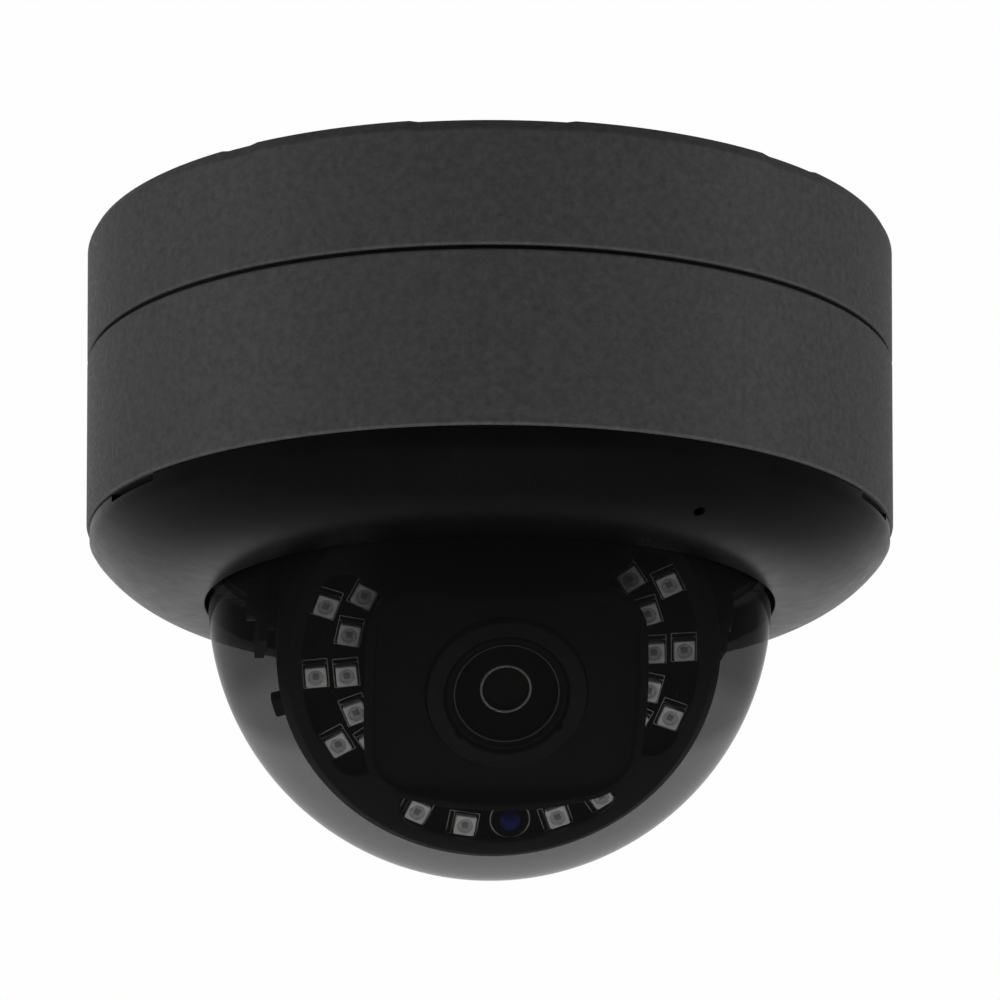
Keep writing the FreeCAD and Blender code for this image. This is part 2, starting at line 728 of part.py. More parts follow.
def make_lens(frame):
    front = dim.plate_front
    barrel_front = front - 0.4
    seat = front - 3.0
    bore = 6.2
    barrel_back = 9.0
    node("lens_barrel", turned(
        (bore, barrel_back),
        (dim.barrel_radius, barrel_back),
        (dim.barrel_radius, barrel_front),
        (dim.glass_radius + 0.1, barrel_front),
        (dim.glass_radius + 0.1, seat),
        (bore, seat),
    ), frame)
    ring = turned(
        (dim.barrel_radius + 0.05, front - 3.9),
        (dim.lens_ring_radius, front - 3.9),
        (dim.lens_ring_radius, front - 0.3),
        (dim.lens_ring_radius - 0.3, front),
        (9.7, front),
        (9.45, front - 0.25),
        (9.45, front - 2.9),
        (dim.barrel_radius + 0.05, front - 2.9),
    )
    key_slots = [turned_block(1.2, 2.4, 4, 9.6, angle, front - 2.9) for angle in (-38, -142)]
    node("lens_ring", cut(ring, *key_slots), frame)
    node("iris_plate", washer(3.4, dim.glass_radius, seat, seat + 0.4), frame)
    node("lens_inner_ring", washer(3.45, 3.75, seat + 0.4, seat + 0.65), frame)
    node("lens_spacer", washer(6.9, dim.glass_radius, seat + 0.4, seat + 1.0), frame)
    node("front_glass", turned(
        (0, seat + 1.0),
        (dim.glass_radius, seat + 1.0),
        (dim.glass_radius, seat + 1.6, 25.0),
        (0, seat + 1.6 + 25.0 - ball_height(25.0, dim.glass_radius)),
    ), frame)
    node("inner_glass", turned(
        (0, seat - 3.0),
        (bore - 0.05, seat - 3.0),
        (bore - 0.05, seat - 1.4, 15.0),
        (0, seat - 1.4 + 15.0 - ball_height(15.0, bore - 0.05)),
    ), frame)
    node("rear_glass", disc(bore - 0.05, 11.0, 13.5), frame)


def disc(radius, low, high):
    return turned((0, low), (radius, low), (radius, high), (0, high))


def make_sensor_stack(frame):
    board_low, board_top = 4.0, 5.6
    corners = [(x, y) for x in (-14, 14) for y in (-14, 14)]
    holder_base = block(22, 22, 2, 0, 0, board_top)
    holder_tube = rod(11, 11.4, 0, 0, board_top)
    holder_flange = rod(15.4, 1.5, 0, 0, 12.5)
    holder_bore = rod(dim.barrel_radius + 0.05, 20, 0, 0, board_top - 1)
    node("lens_holder", cut(fuse(holder_base, holder_tube, holder_flange), holder_bore), frame)
    node("image_sensor", block(9, 8, 1.4, 0, 0, board_top), frame)
    node("sensor_board", block(34, 34, 1.6, 0, 0, board_low), frame)
    node("board_spacers", group(*[rod(2, 8, x, y, board_low - 8) for x, y in corners]), frame)
    node("processor_board", block(34, 34, 1.6, 0, 0, board_low - 9.6), frame)
    node("processor_chip", block(14, 14, 1.4, 0, 0, board_low - 11), frame)
    sink_low = -(dim.shell_back - 2)
    node("heat_sink", block(20, 20, (board_low - 11) - sink_low, 0, 0, sink_low), frame)


# ---------------------------------------------------------------- trim cover and dome

def make_trim_cover():
    bowl_middle = dim.opening_radius + 0.4
    bowl_top = -(dim.cover_depth - dim.bowl_radius)
    inner_bowl = dim.bowl_radius - dim.cover_wall
    lip_radius = dim.cover_radius
    lip_low = bowl_top - ball_height(dim.bowl_radius, lip_radius - bowl_middle)
    spigot_outer = dim.body_radius - dim.wall - 0.3
    spigot_inner = spigot_outer - 1.9
    spigot_low = bowl_top - ball_height(inner_bowl, spigot_inner - bowl_middle)
    pad_radius = dim.flange_radius + 1.1
    pad_depth = bowl_top - ball_height(inner_bowl, pad_radius - bowl_middle)
    seat = -(dim.cover_depth - 2.3)
    lip_top = -(dim.housing_depth + dim.cover_gap)
    cover = turned(
        (dim.opening_radius, seat),
        (dim.opening_radius, -(dim.cover_depth - 0.3)),
        (bowl_middle, -dim.cover_depth, dim.bowl_radius),
        (lip_radius, lip_low),
        (lip_radius, lip_top),
        (spigot_outer, lip_top),
        (spigot_outer, lip_top + 3.3),
        (spigot_inner, lip_top + 3.3),
        (spigot_inner, spigot_low, -inner_bowl),
        (pad_radius, pad_depth),
        (pad_radius, seat),
    )
    notches = [turned_block(6, 13.8, 3, dim.body_radius + 0.8, angle, lip_top - 1.2)
               for angle in NOTCH_ANGLES]
    spots = circle_spots(48.4, QUARTER_ANGLES)
    flange_top = seat + 0.8 + dim.flange_thickness
    bosses = [rod(1.9, 2.8, x, y, flange_top - 2.8) for x, y in spots]
    threads = [rod(1.0, 3, x, y, flange_top - 2) for x, y in spots]
    pinhole = microphone_rod(0.7, dim.bowl_radius - 4, 8)
    node("trim_cover", cut(fuse(cover, *bosses), *notches, *threads, pinhole))

    node("dome_gasket", washer(bowl_middle, dim.flange_radius, seat, seat + 0.8))
    node("dome_retaining_ring", cut(washer(41, 50.2, flange_top, flange_top + 1.5),
                                    *[rod(1.1, 3, x, y, flange_top - 1) for x, y in spots]))
    node("dome_ring_screws", screws(spots, 1.7, 1.2, 0.95, 3.2, flange_top + 1.5, upwards=False))
    node("microphone", microphone_rod(1.6, inner_bowl - 2.4, 2.2))
    make_dome(seat + 0.8, flange_top)


def microphone_rod(radius, start, length):
    """A rod square to the bowl, on the line of the microphone's pinhole."""
    reach = 10.7
    bowl_middle = dim.opening_radius.value + 0.4
    bowl_top = -(dim.cover_depth.value - dim.bowl_radius.value)
    lean = math.degrees(math.asin(reach / dim.bowl_radius.value))
    turn = FreeCAD.Rotation(Z_AXIS, MICROPHONE_ANGLE).multiply(FreeCAD.Rotation(Y_AXIS, 180 - lean))
    direction = turn.multVec(Z_AXIS)
    around = math.radians(MICROPHONE_ANGLE)
    centre = FreeCAD.Vector(bowl_middle * math.cos(around), bowl_middle * math.sin(around), bowl_top)
    item = doc.addObject("Part::Cylinder", "Bore")
    bind(item, "Radius", radius)
    bind(item, "Height", length)
    item.Placement = FreeCAD.Placement(centre + direction * as_size(start).value, turn)
    return item


def make_dome(flange_low, flange_top):
    inner_radius = dim.dome_radius - dim.dome_wall
    equator = -dim.dome_drop
    node("dome_bubble", turned(
        (inner_radius, equator),
        (inner_radius, flange_top),
        (dim.flange_radius, flange_top),
        (dim.flange_radius, flange_low),
        (dim.dome_radius, flange_low),
        (dim.dome_radius, equator, -dim.dome_radius),
        (0, equator - dim.dome_radius),
        (0, equator - inner_radius, inner_radius),
    ))


# ---------------------------------------------------------------- assembly

def build():
    centre = FreeCAD.Vector(0, 0, -dim.pivot_drop.value)
    tilt = FreeCAD.Rotation(X_AXIS, 90 + dim.tilt_angle.value)
    roll = FreeCAD.Rotation(Z_AXIS, dim.roll_angle.value)
    tilt_frame = FreeCAD.Placement(centre, tilt)
    module_frame = FreeCAD.Placement(centre, tilt.multiply(roll))
    hood_roll = FreeCAD.Rotation(Z_AXIS, dim.roll_angle.value - dim.hood_turn.value)
    hood_frame = FreeCAD.Placement(centre, tilt.multiply(hood_roll))
    make_mount_base()
    make_ceiling_pieces()
    make_main_housing()
    make_main_board()
    make_pan_table()
    make_yoke_arm("yoke_arm_left", -1)
    make_yoke_arm("yoke_arm_right", 1)
    make_tilt_ring(tilt_frame)
    make_rear_shell(module_frame)
    make_front_liner(module_frame)
    make_led_board(module_frame)
    make_hood(hood_frame)
    make_lens(module_frame)
    make_sensor_stack(module_frame)
    make_trim_cover()


def check_document():
    """Stop if any object failed to compute or any piece isn't a sound solid."""
    for item in doc.Objects:
        if "Invalid" in item.State or "Error" in item.State:
            raise RuntimeError(f"{item.Name} ({item.Label}) is {item.State}")
    for name, item in nodes:
        if item.Shape.isNull() or not item.Shape.isValid() or not item.Shape.Solids:
            raise RuntimeError(f"{name} has no valid shape")


def write_parts():
    os.makedirs("parts", exist_ok=True)
    for name, item in nodes:
        item.Shape.exportStep(f"parts/{name}.step")
        box = item.Shape.BoundBox
        print(f"{name}: {len(item.Shape.Solids)} solids, {item.Shape.Volume:.0f} mm3, "
              f"z {box.ZMin:.1f}..{box.ZMax:.1f}")


build()
doc.recompute()
check_document()
write_parts()
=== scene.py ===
import json
import math

import bmesh
import bpy
from mathutils import Matrix, Vector


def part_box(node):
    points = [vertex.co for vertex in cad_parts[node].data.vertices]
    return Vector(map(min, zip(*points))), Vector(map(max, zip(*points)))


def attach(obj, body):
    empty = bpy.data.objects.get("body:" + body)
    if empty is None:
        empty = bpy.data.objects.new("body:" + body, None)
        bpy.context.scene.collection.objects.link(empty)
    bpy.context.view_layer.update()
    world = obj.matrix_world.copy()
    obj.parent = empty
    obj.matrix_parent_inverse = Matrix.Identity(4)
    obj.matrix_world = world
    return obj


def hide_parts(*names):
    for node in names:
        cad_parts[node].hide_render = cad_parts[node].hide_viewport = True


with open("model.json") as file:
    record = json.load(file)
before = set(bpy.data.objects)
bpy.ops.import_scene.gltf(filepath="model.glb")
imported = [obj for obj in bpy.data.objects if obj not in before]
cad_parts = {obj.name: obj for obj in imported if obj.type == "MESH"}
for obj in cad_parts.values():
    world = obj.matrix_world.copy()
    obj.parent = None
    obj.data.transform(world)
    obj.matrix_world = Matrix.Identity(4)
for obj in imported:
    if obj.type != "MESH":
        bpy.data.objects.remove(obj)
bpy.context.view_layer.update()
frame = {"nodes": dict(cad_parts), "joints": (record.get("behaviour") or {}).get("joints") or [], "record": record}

# Sizes are in millimetres, like the design, and MM turns them into metres.
MM = 0.001
TURN_STEPS = 288
SHARP_ANGLE = 40

# ---------------------------------------------------------------- sizes from the frame

def low_z(node):
    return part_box(node)[0].z / MM


def high_z(node):
    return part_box(node)[1].z / MM


BODY_RADIUS = 61.0
BODY_DRAFT = 0.8
WALL = 2.5
BASE_LOW = low_z("mount_base")
HOUSING_TOP = low_z("seam_gasket")
HOUSING_LOW = low_z("main_housing")
COVER_LOW = low_z("trim_cover")
FLANGE_TOP = high_z("dome_bubble")
DOME_LOW = low_z("dome_bubble")
DOME_RADIUS = 42.5
DOME_WALL = 2.5
DOME_CENTRE = DOME_LOW + DOME_RADIUS

roll_joint = next(joint for joint in frame["joints"] if joint["name"] == "roll")
optical_axis = Vector(roll_joint["axis"])
module_centre = Vector(roll_joint["pos_m"])
TILT = math.asin(-optical_axis.z)
ROLL = math.radians(6.0)
tilt_place = Matrix.Translation(module_centre) @ Matrix.Rotation(math.pi / 2 + TILT, 4, "X")
module_place = tilt_place @ Matrix.Rotation(ROLL, 4, "Z")

# Between these heights the dome's smoke thins out downwards: a painted reflection that lightens the lower dome.
PAINTED_REFLECTION_TOP = -71.0
PAINTED_REFLECTION_BOTTOM = -74.5


# ---------------------------------------------------------------- outlines

def rounded(corners, closed=True, steps=5):
    """Points of an outline. A corner given as (x, y, radius) becomes an arc of that radius."""
    points = []
    count = len(corners)
    for index, corner in enumerate(corners):
        here = Vector(corner[:2])
        if len(corner) == 2 or (not closed and index in (0, count - 1)):
            points.append(here)
            continue
        before = Vector(corners[index - 1][:2]) - here
        after = Vector(corners[(index + 1) % count][:2]) - here
        half = before.angle(after) / 2
        reach = corner[2] / math.tan(half)
        start, end = here + before.normalized() * reach, here + after.normalized() * reach
        middle = here + (before.normalized() + after.normalized()).normalized() * (
            corner[2] / math.sin(half))
        sweep = (start - middle).angle_signed(end - middle)
        for step in range(steps + 1):
            spoke = start - middle
            spoke.rotate(Matrix.Rotation(-sweep * step / steps, 2))
            points.append(middle + spoke)
    return [(point.x, point.y) for point in points]


def arc_points(centre, radius, start, end, steps):
    """Points of an arc, with its angles in degrees."""
    angles = [math.radians(start + (end - start) * step / steps) for step in range(steps + 1)]
    return [(centre[0] + radius * math.cos(a), centre[1] + radius * math.sin(a)) for a in angles]


def circle_loop(radius, steps=TURN_STEPS, x=0.0, y=0.0):
    turns = [2 * math.pi * step / steps for step in range(steps)]
    return [(x + radius * math.cos(turn), y + radius * math.sin(turn)) for turn in turns]


def cap_points(centre, radius, start, steps):
    """The outline of a round cap, from an angle up to its top on the axis."""
    outline = arc_points((0, centre), radius, start, 90, steps)
    outline[-1] = (0, outline[-1][1])
    return outline


def sector_loop(inner, outer, corner, start, end, grow=0.0, steps=40):
    """A window along a circle with rounded corners. grow makes it larger all round."""
    inner, outer, corner = inner - grow, outer + grow, corner + grow
    start, end = math.radians(start), math.radians(end)
    loop = []
    for radius, first, last in ((outer - corner, start, end), (inner + corner, end, start)):
        sign = 1 if last > first else -1
        inset = math.asin((corner - grow) / radius) * sign
        spots = [first + inset, last - inset]
        far = corner if sign > 0 else -corner
        for number, spot in enumerate(spots):
            middle = Vector((radius * math.cos(spot), radius * math.sin(spot)))
            swing = 0 if sign > 0 else math.pi
            turn_from = spot + swing - math.pi / 2 * (1 - number)
            arc = [turn_from + math.pi / 2 * step / 8 for step in range(9)]
            loop += [(middle.x + abs(far) * math.cos(a), middle.y + abs(far) * math.sin(a))
                     for a in arc]
            if number == 0:
                sweep = spots[1] - spots[0]
                way = [spots[0] + sweep * step / steps for step in range(1, steps)]
                loop += [((radius + far) * math.cos(a), (radius + far) * math.sin(a))
                         for a in way]
    return loop


def rounded_rectangle(half_width, half_height, corner, per_side=24, per_corner=16):
    """A rounded rectangle with evenly divided sides, the same point count at any size."""
    loop = []
    middles = ((1, -1, -90), (1, 1, 0), (-1, 1, 90), (-1, -1, 180))
    for number, (side, top, start) in enumerate(middles):
        middle = ((half_width - corner) * side, (half_height - corner) * top)
        arc = arc_points(middle, corner, start, start + 90, per_corner)
        loop += arc
        side, top, start = middles[(number + 1) % 4]
        following = ((half_width - corner) * side, (half_height - corner) * top)
        goal = arc_points(following, corner, start, start + 90, 1)[0]
        for step in range(1, per_side):
            share = step / per_side
            loop.append((arc[-1][0] + (goal[0] - arc[-1][0]) * share,
                         arc[-1][1] + (goal[1] - arc[-1][1]) * share))
    return loop


# ---------------------------------------------------------------- meshes

class Shape:
    """Collects vertex loops and faces, and turns them into one piece."""

    def __init__(self):
        self.mesh = bmesh.new()

    def row(self, loop, height):
        """A loop of vertices. height is one number or a function of the point."""
        rise = height if callable(height) else (lambda x, y: height)
        return [self.mesh.verts.new((x * MM, y * MM, rise(x, y) * MM)) for x, y in loop]

    def strip(self, first, second):
        """Faces between two rows of the same length."""
        count = len(first)
        for index in range(count):
            after = (index + 1) % count
            self.mesh.faces.new((first[index], first[after], second[after], second[index]))

    def rows(self, rows, closed=False):
        for first, second in zip(rows, rows[1:]):
            self.strip(first, second)
        if closed:
            self.strip(rows[-1], rows[0])
        return rows

    def cap(self, *loops):
        """A flat face inside the first loop, with the other loops as holes."""
        edges = []
        for loop in loops:
            for index, vertex in enumerate(loop):
                pair = (vertex, loop[(index + 1) % len(loop)])
                edges.append(self.mesh.edges.get(pair) or self.mesh.edges.new(pair))
        bmesh.ops.triangle_fill(self.mesh, use_beauty=True, edges=edges)

    def disc(self, loop):
        self.mesh.faces.new(loop)

    def lathe(self, outline, steps=TURN_STEPS, closed=True, x=0.0, y=0.0):
        """A solid turned about the Z axis. Outline points on the axis become single vertices."""
        made = []
        for radius, height in outline:
            if radius < 1e-6:
                made.append([self.mesh.verts.new((x * MM, y * MM, height * MM))] * steps)
            else:
                made.append(self.row(circle_loop(radius, steps, x, y), height))
        pairs = list(zip(made, made[1:]))
        if closed:
            pairs.append((made[-1], made[0]))
        for first, second in pairs:
            if first[0] is first[1] and second[0] is second[1]:
                continue
            for index in range(steps):
                after = (index + 1) % steps
                corners = [first[index], first[after], second[after], second[index]]
                unique = list(dict.fromkeys(corners))
                if len(unique) > 2:
                    self.mesh.faces.new(unique)

    def box(self, size, place, bevel=0.0):
        """A box with bevelled edges. place puts its middle where it belongs."""
        corners = bmesh.ops.create_cube(self.mesh, size=1.0)["verts"]
        scale = Matrix.Diagonal((size[0] * MM, size[1] * MM, size[2] * MM, 1))
        bmesh.ops.transform(self.mesh, matrix=place @ scale, verts=corners)
        if bevel:
            edges = list({edge for corner in corners for edge in corner.link_edges})
            bmesh.ops.bevel(self.mesh, geom=edges, offset=bevel * MM, segments=2,
                            affect="EDGES", profile=0.5)

    def mark(self):
        return len(self.mesh.verts)

    def move_since(self, mark, place):
        """Move everything that was made since a mark."""
        self.mesh.verts.ensure_lookup_table()
        bmesh.ops.transform(self.mesh, matrix=place, verts=self.mesh.verts[mark:])

    def piece(self, name, body, slot, stands_for=(), place=None, sharp=SHARP_ANGLE):
        """Finish the mesh as a piece that rides on a body."""
        bmesh.ops.recalc_face_normals(self.mesh, faces=self.mesh.faces)
        if place:
            self.mesh.transform(place)
        data = bpy.data.meshes.new(name)
        self.mesh.to_mesh(data)
        self.mesh.free()
        return finish_piece(data, name, body, slot, stands_for, sharp)


def finish_piece(data, name, body, slot, stands_for, sharp):
    """Make the object, shade it and hang it on its body."""
    data.shade_smooth()
    data.set_sharp_from_angle(angle=math.radians(sharp))
    piece = bpy.data.objects.new(name, data)
    bpy.context.scene.collection.objects.link(piece)
    normals = piece.modifiers.new("Normals", "WEIGHTED_NORMAL")
    normals.keep_sharp = True
    piece.data.materials.append(materials[slot])
    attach(piece, body)
    if stands_for:
        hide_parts(*stands_for)
    return piece


def cut_away(piece, cutter):
    """Take one solid away from a piece, for good."""
    tool_data = bpy.data.meshes.new("cutter")
    bmesh.ops.recalc_face_normals(cutter.mesh, faces=cutter.mesh.faces)
    cutter.mesh.to_mesh(tool_data)
    cutter.mesh.free()
    tool = bpy.data.objects.new("cutter", tool_data)
    bpy.context.scene.collection.objects.link(tool)
    knife = piece.modifiers.new("Cut", "BOOLEAN")
    knife.object = tool
    knife.solver = "EXACT"
    piece.modifiers.remove(piece.modifiers["Normals"])
    bpy.context.view_layer.update()
    depsgraph = bpy.context.evaluated_depsgraph_get()
    result = bpy.data.meshes.new_from_object(piece.evaluated_get(depsgraph))
    piece.modifiers.clear()
    piece.data = result
    result.set_sharp_from_angle(angle=math.radians(SHARP_ANGLE))
    piece.modifiers.new("Normals", "WEIGHTED_NORMAL").keep_sharp = True
    bpy.data.objects.remove(tool)


def spot(x, y, z):
    """A place in millimetres."""
    return Matrix.Translation((x * MM, y * MM, z * MM))


def around(radius, angle, z):
    """A place on a circle, facing outwards."""
    turn = Matrix.Rotation(math.radians(angle), 4, "Z")
    return turn @ Matrix.Translation((radius * MM, 0, z * MM))


# ---------------------------------------------------------------- materials

class Recipe:
    """One material built from nodes round a single Principled shader."""

    def __init__(self, name, colour, roughness, metallic=0.0):
        self.material = bpy.data.materials.new(name)
        self.material.use_nodes = True
        self.nodes = self.material.node_tree.nodes
        self.links = self.material.node_tree.links
        self.shader = self.nodes["Principled BSDF"]
        self.colour = colour
        self.set("Base Color", (*colour, 1))
        self.set("Roughness", roughness)
        self.set("Metallic", metallic)
        self.coordinates = self.nodes.new("ShaderNodeTexCoord").outputs["Object"]
        self.height = None

    def set(self, socket, value):
        self.shader.inputs[socket].default_value = value
        return self

    def noise(self, size, detail=3.0, rough=0.55):
        """Noise whose features are about size millimetres wide."""
        texture = self.nodes.new("ShaderNodeTexNoise")
        texture.inputs["Scale"].default_value = 1 / (size * MM)
        texture.inputs["Detail"].default_value = detail
        texture.inputs["Roughness"].default_value = rough
        self.links.new(self.coordinates, texture.inputs["Vector"])
        return texture.outputs["Fac"]

    def cells(self, size):
        texture = self.nodes.new("ShaderNodeTexVoronoi")
        texture.inputs["Scale"].default_value = 1 / (size * MM)
        self.links.new(self.coordinates, texture.inputs["Vector"])
        return texture.outputs

    def span(self, source, low, high, start=0.0, end=1.0):
        """Map a value between two limits on to another range."""
        node = self.nodes.new("ShaderNodeMapRange")
        for socket, value in zip(("From Min", "From Max", "To Min", "To Max"),
                                 (low, high, start, end)):
            node.inputs[socket].default_value = value
        self.links.new(source, node.inputs["Value"])
        return node.outputs["Result"]

    def ramp(self, source, *stops):
        """Colours along a value: each stop is (place, colour)."""
        node = self.nodes.new("ShaderNodeValToRGB")
        elements = node.color_ramp.elements
        while len(elements) < len(stops):
            elements.new(0.5)
        for element, (place, colour) in zip(elements, stops):
            element.position = place
            element.color = (*colour, 1)
        self.links.new(source, node.inputs["Fac"])
        return node.outputs["Color"]

    def mix(self, share, first, second):
        node = self.nodes.new("ShaderNodeMix")
        node.data_type = "RGBA"
        self.links.new(share, node.inputs["Factor"])
        for socket, value in ((node.inputs[6], first), (node.inputs[7], second)):
            if isinstance(value, tuple):
                socket.default_value = (*value, 1)
            else:
                self.links.new(value, socket)
        return node.outputs[2]

    def feed(self, socket, source):
        self.links.new(source, self.shader.inputs[socket])
        return self

    def mottle(self, size, spread=0.15, detail=3.0):
        """Light and dark clouds of the base colour."""
        dark = tuple(part * (1 - spread) for part in self.colour)
        light = tuple(part * (1 + spread) for part in self.colour)
        return self.feed("Base Color", self.ramp(self.noise(size, detail), (0.3, dark), (0.7, light)))

    def vary_gloss(self, size, low, high):
        return self.feed("Roughness", self.span(self.noise(size, 4.0), 0.3, 0.7, low, high))

    def bump(self, source, depth, strength=1.0):
        """Raise the surface by depth millimetres where source is high."""
        node = self.nodes.new("ShaderNodeBump")
        node.inputs["Distance"].default_value = depth * MM
        node.inputs["Strength"].default_value = strength
        self.links.new(source, node.inputs["Height"])
        if self.height is not None:
            self.links.new(self.height, node.inputs["Normal"])
        self.height = node.outputs["Normal"]
        return self.feed("Normal", self.height)


def powder_coat(name, colour):
    """Dark powder paint: fine pebbled grain, cloudy tone and tiny metal flakes whose bright specks are painted
    glints.
    """
    recipe = Recipe(name, colour, 0.5)
    clouds = recipe.ramp(recipe.noise(1.1, 5.0, 0.65), (0.32, tuple(c * 0.82 for c in colour)),
                         (0.68, tuple(c * 1.2 for c in colour)))
    # The flakes are real; their specks, four times the base colour, are painted glints.
    flakes = recipe.cells(0.3)
    bright = recipe.span(flakes["Distance"], 0.0, 0.16, 1.0, 0.0)
    chosen = recipe.span(flakes["Color"], 0.82, 0.86)
    flakes_with_painted_glint = recipe.nodes.new("ShaderNodeMath")
    flakes_with_painted_glint.operation = "MULTIPLY"
    recipe.links.new(bright, flakes_with_painted_glint.inputs[0])
    recipe.links.new(chosen, flakes_with_painted_glint.inputs[1])
    recipe.feed("Base Color", recipe.mix(flakes_with_painted_glint.outputs[0], clouds, tuple(c * 4.0 for c in colour)))
    recipe.vary_gloss(0.7, 0.42, 0.62)
    recipe.bump(recipe.noise(0.55, 2.0), 0.02)
    recipe.bump(recipe.noise(0.2, 2.0), 0.006)
    return recipe.material


def moulded(name, colour, roughness, grain=0.25, depth=0.004):
    """Moulded plastic with a fine sparked texture."""
    recipe = Recipe(name, colour, roughness)
    recipe.mottle(6.0, 0.12)
    recipe.vary_gloss(2.5, roughness * 0.88, roughness * 1.12)
    recipe.bump(recipe.noise(grain, 3.0), depth)
    return recipe.material


def rubber(name, colour):
    """Matt rubber with a coarse grain."""
    recipe = Recipe(name, colour, 0.75)
    recipe.mottle(1.5, 0.25)
    recipe.vary_gloss(1.0, 0.68, 0.85)
    recipe.bump(recipe.noise(0.35, 4.0), 0.012)
    return recipe.material


def metal(name, colour, roughness, grain=0.3):
    """Metal with fine machining scratches and uneven gloss."""
    recipe = Recipe(name, colour, roughness, metallic=1.0)
    recipe.mottle(1.2, 0.1)
    recipe.vary_gloss(0.6, roughness * 0.8, roughness * 1.3)
    recipe.bump(recipe.noise(grain, 6.0, 0.7), 0.002)
    return recipe.material


def circuit_board(name, mask, copper):
    """Solder mask over faint copper tracks, with a slightly uneven gloss."""
    recipe = Recipe(name, mask, 0.35)
    waves = recipe.nodes.new("ShaderNodeTexWave")
    waves.inputs["Scale"].default_value = 1 / (2.2 * MM)
    waves.inputs["Distortion"].default_value = 2.0
    waves.inputs["Detail"].default_value = 1.0
    waves.inputs["Detail Scale"].default_value = 0.6
    recipe.links.new(recipe.coordinates, waves.inputs["Vector"])
    tracks = recipe.span(waves.outputs["Fac"], 0.86, 0.92)
    recipe.feed("Base Color", recipe.mix(tracks, mask, copper))
    recipe.vary_gloss(1.5, 0.28, 0.42)
    recipe.bump(tracks, 0.01)
    return recipe.material


def smoked_dome(name, colour, upper, lower):
    """Smoked polycarbonate, a polished face over smoke that is a little denser near the top and thinner low down,
    where the lighter lower dome is a painted reflection.
    """
    recipe = Recipe(name, colour, 0.02)
    recipe.set("IOR", 1.5)
    split = recipe.nodes.new("ShaderNodeSeparateXYZ")
    recipe.links.new(recipe.coordinates, split.inputs[0])
    # Alpha grades from the upper value down to the lower one: the lighter lower dome is a painted reflection.
    smoke_and_painted_reflection = recipe.span(split.outputs["Z"], PAINTED_REFLECTION_BOTTOM * MM, PAINTED_REFLECTION_TOP * MM, lower, upper)
    recipe.feed("Alpha", smoke_and_painted_reflection)
    recipe.set("Specular IOR Level", 0.02)
    recipe.vary_gloss(9.0, 0.012, 0.03)
    return recipe.material


def glass(name, colour, alpha, roughness=0.02):
    """Clear glass or resin: a faint surface that mostly lets what's behind it through."""
    recipe = Recipe(name, colour, roughness)
    recipe.set("Alpha", alpha)
    recipe.set("IOR", 1.6)
    recipe.vary_gloss(3.0, roughness * 0.7, roughness * 1.4)
    return recipe.material


def coated_glass(name):
    """A dark lens element whose coating shines green to amber."""
    recipe = Recipe(name, (0.02, 0.05, 0.03), 0.05, metallic=0.7)
    recipe.feed("Base Color", recipe.ramp(recipe.noise(3.0, 1.0), (0.35, (0.02, 0.09, 0.05)),
                                          (0.5, (0.08, 0.09, 0.02)), (0.65, (0.03, 0.05, 0.08))))
    return recipe.material


def ceramic(name, colour):
    """A smooth fired or sprayed surface with a little unevenness."""
    recipe = Recipe(name, colour, 0.4)
    recipe.mottle(0.8, 0.08)
    recipe.vary_gloss(0.5, 0.32, 0.5)
    recipe.bump(recipe.noise(0.12, 2.0), 0.003)
    return recipe.material


def printed_ink(name, colour):
    recipe = Recipe(name, colour, 0.6)
    recipe.mottle(0.3, 0.2)
    return recipe.material


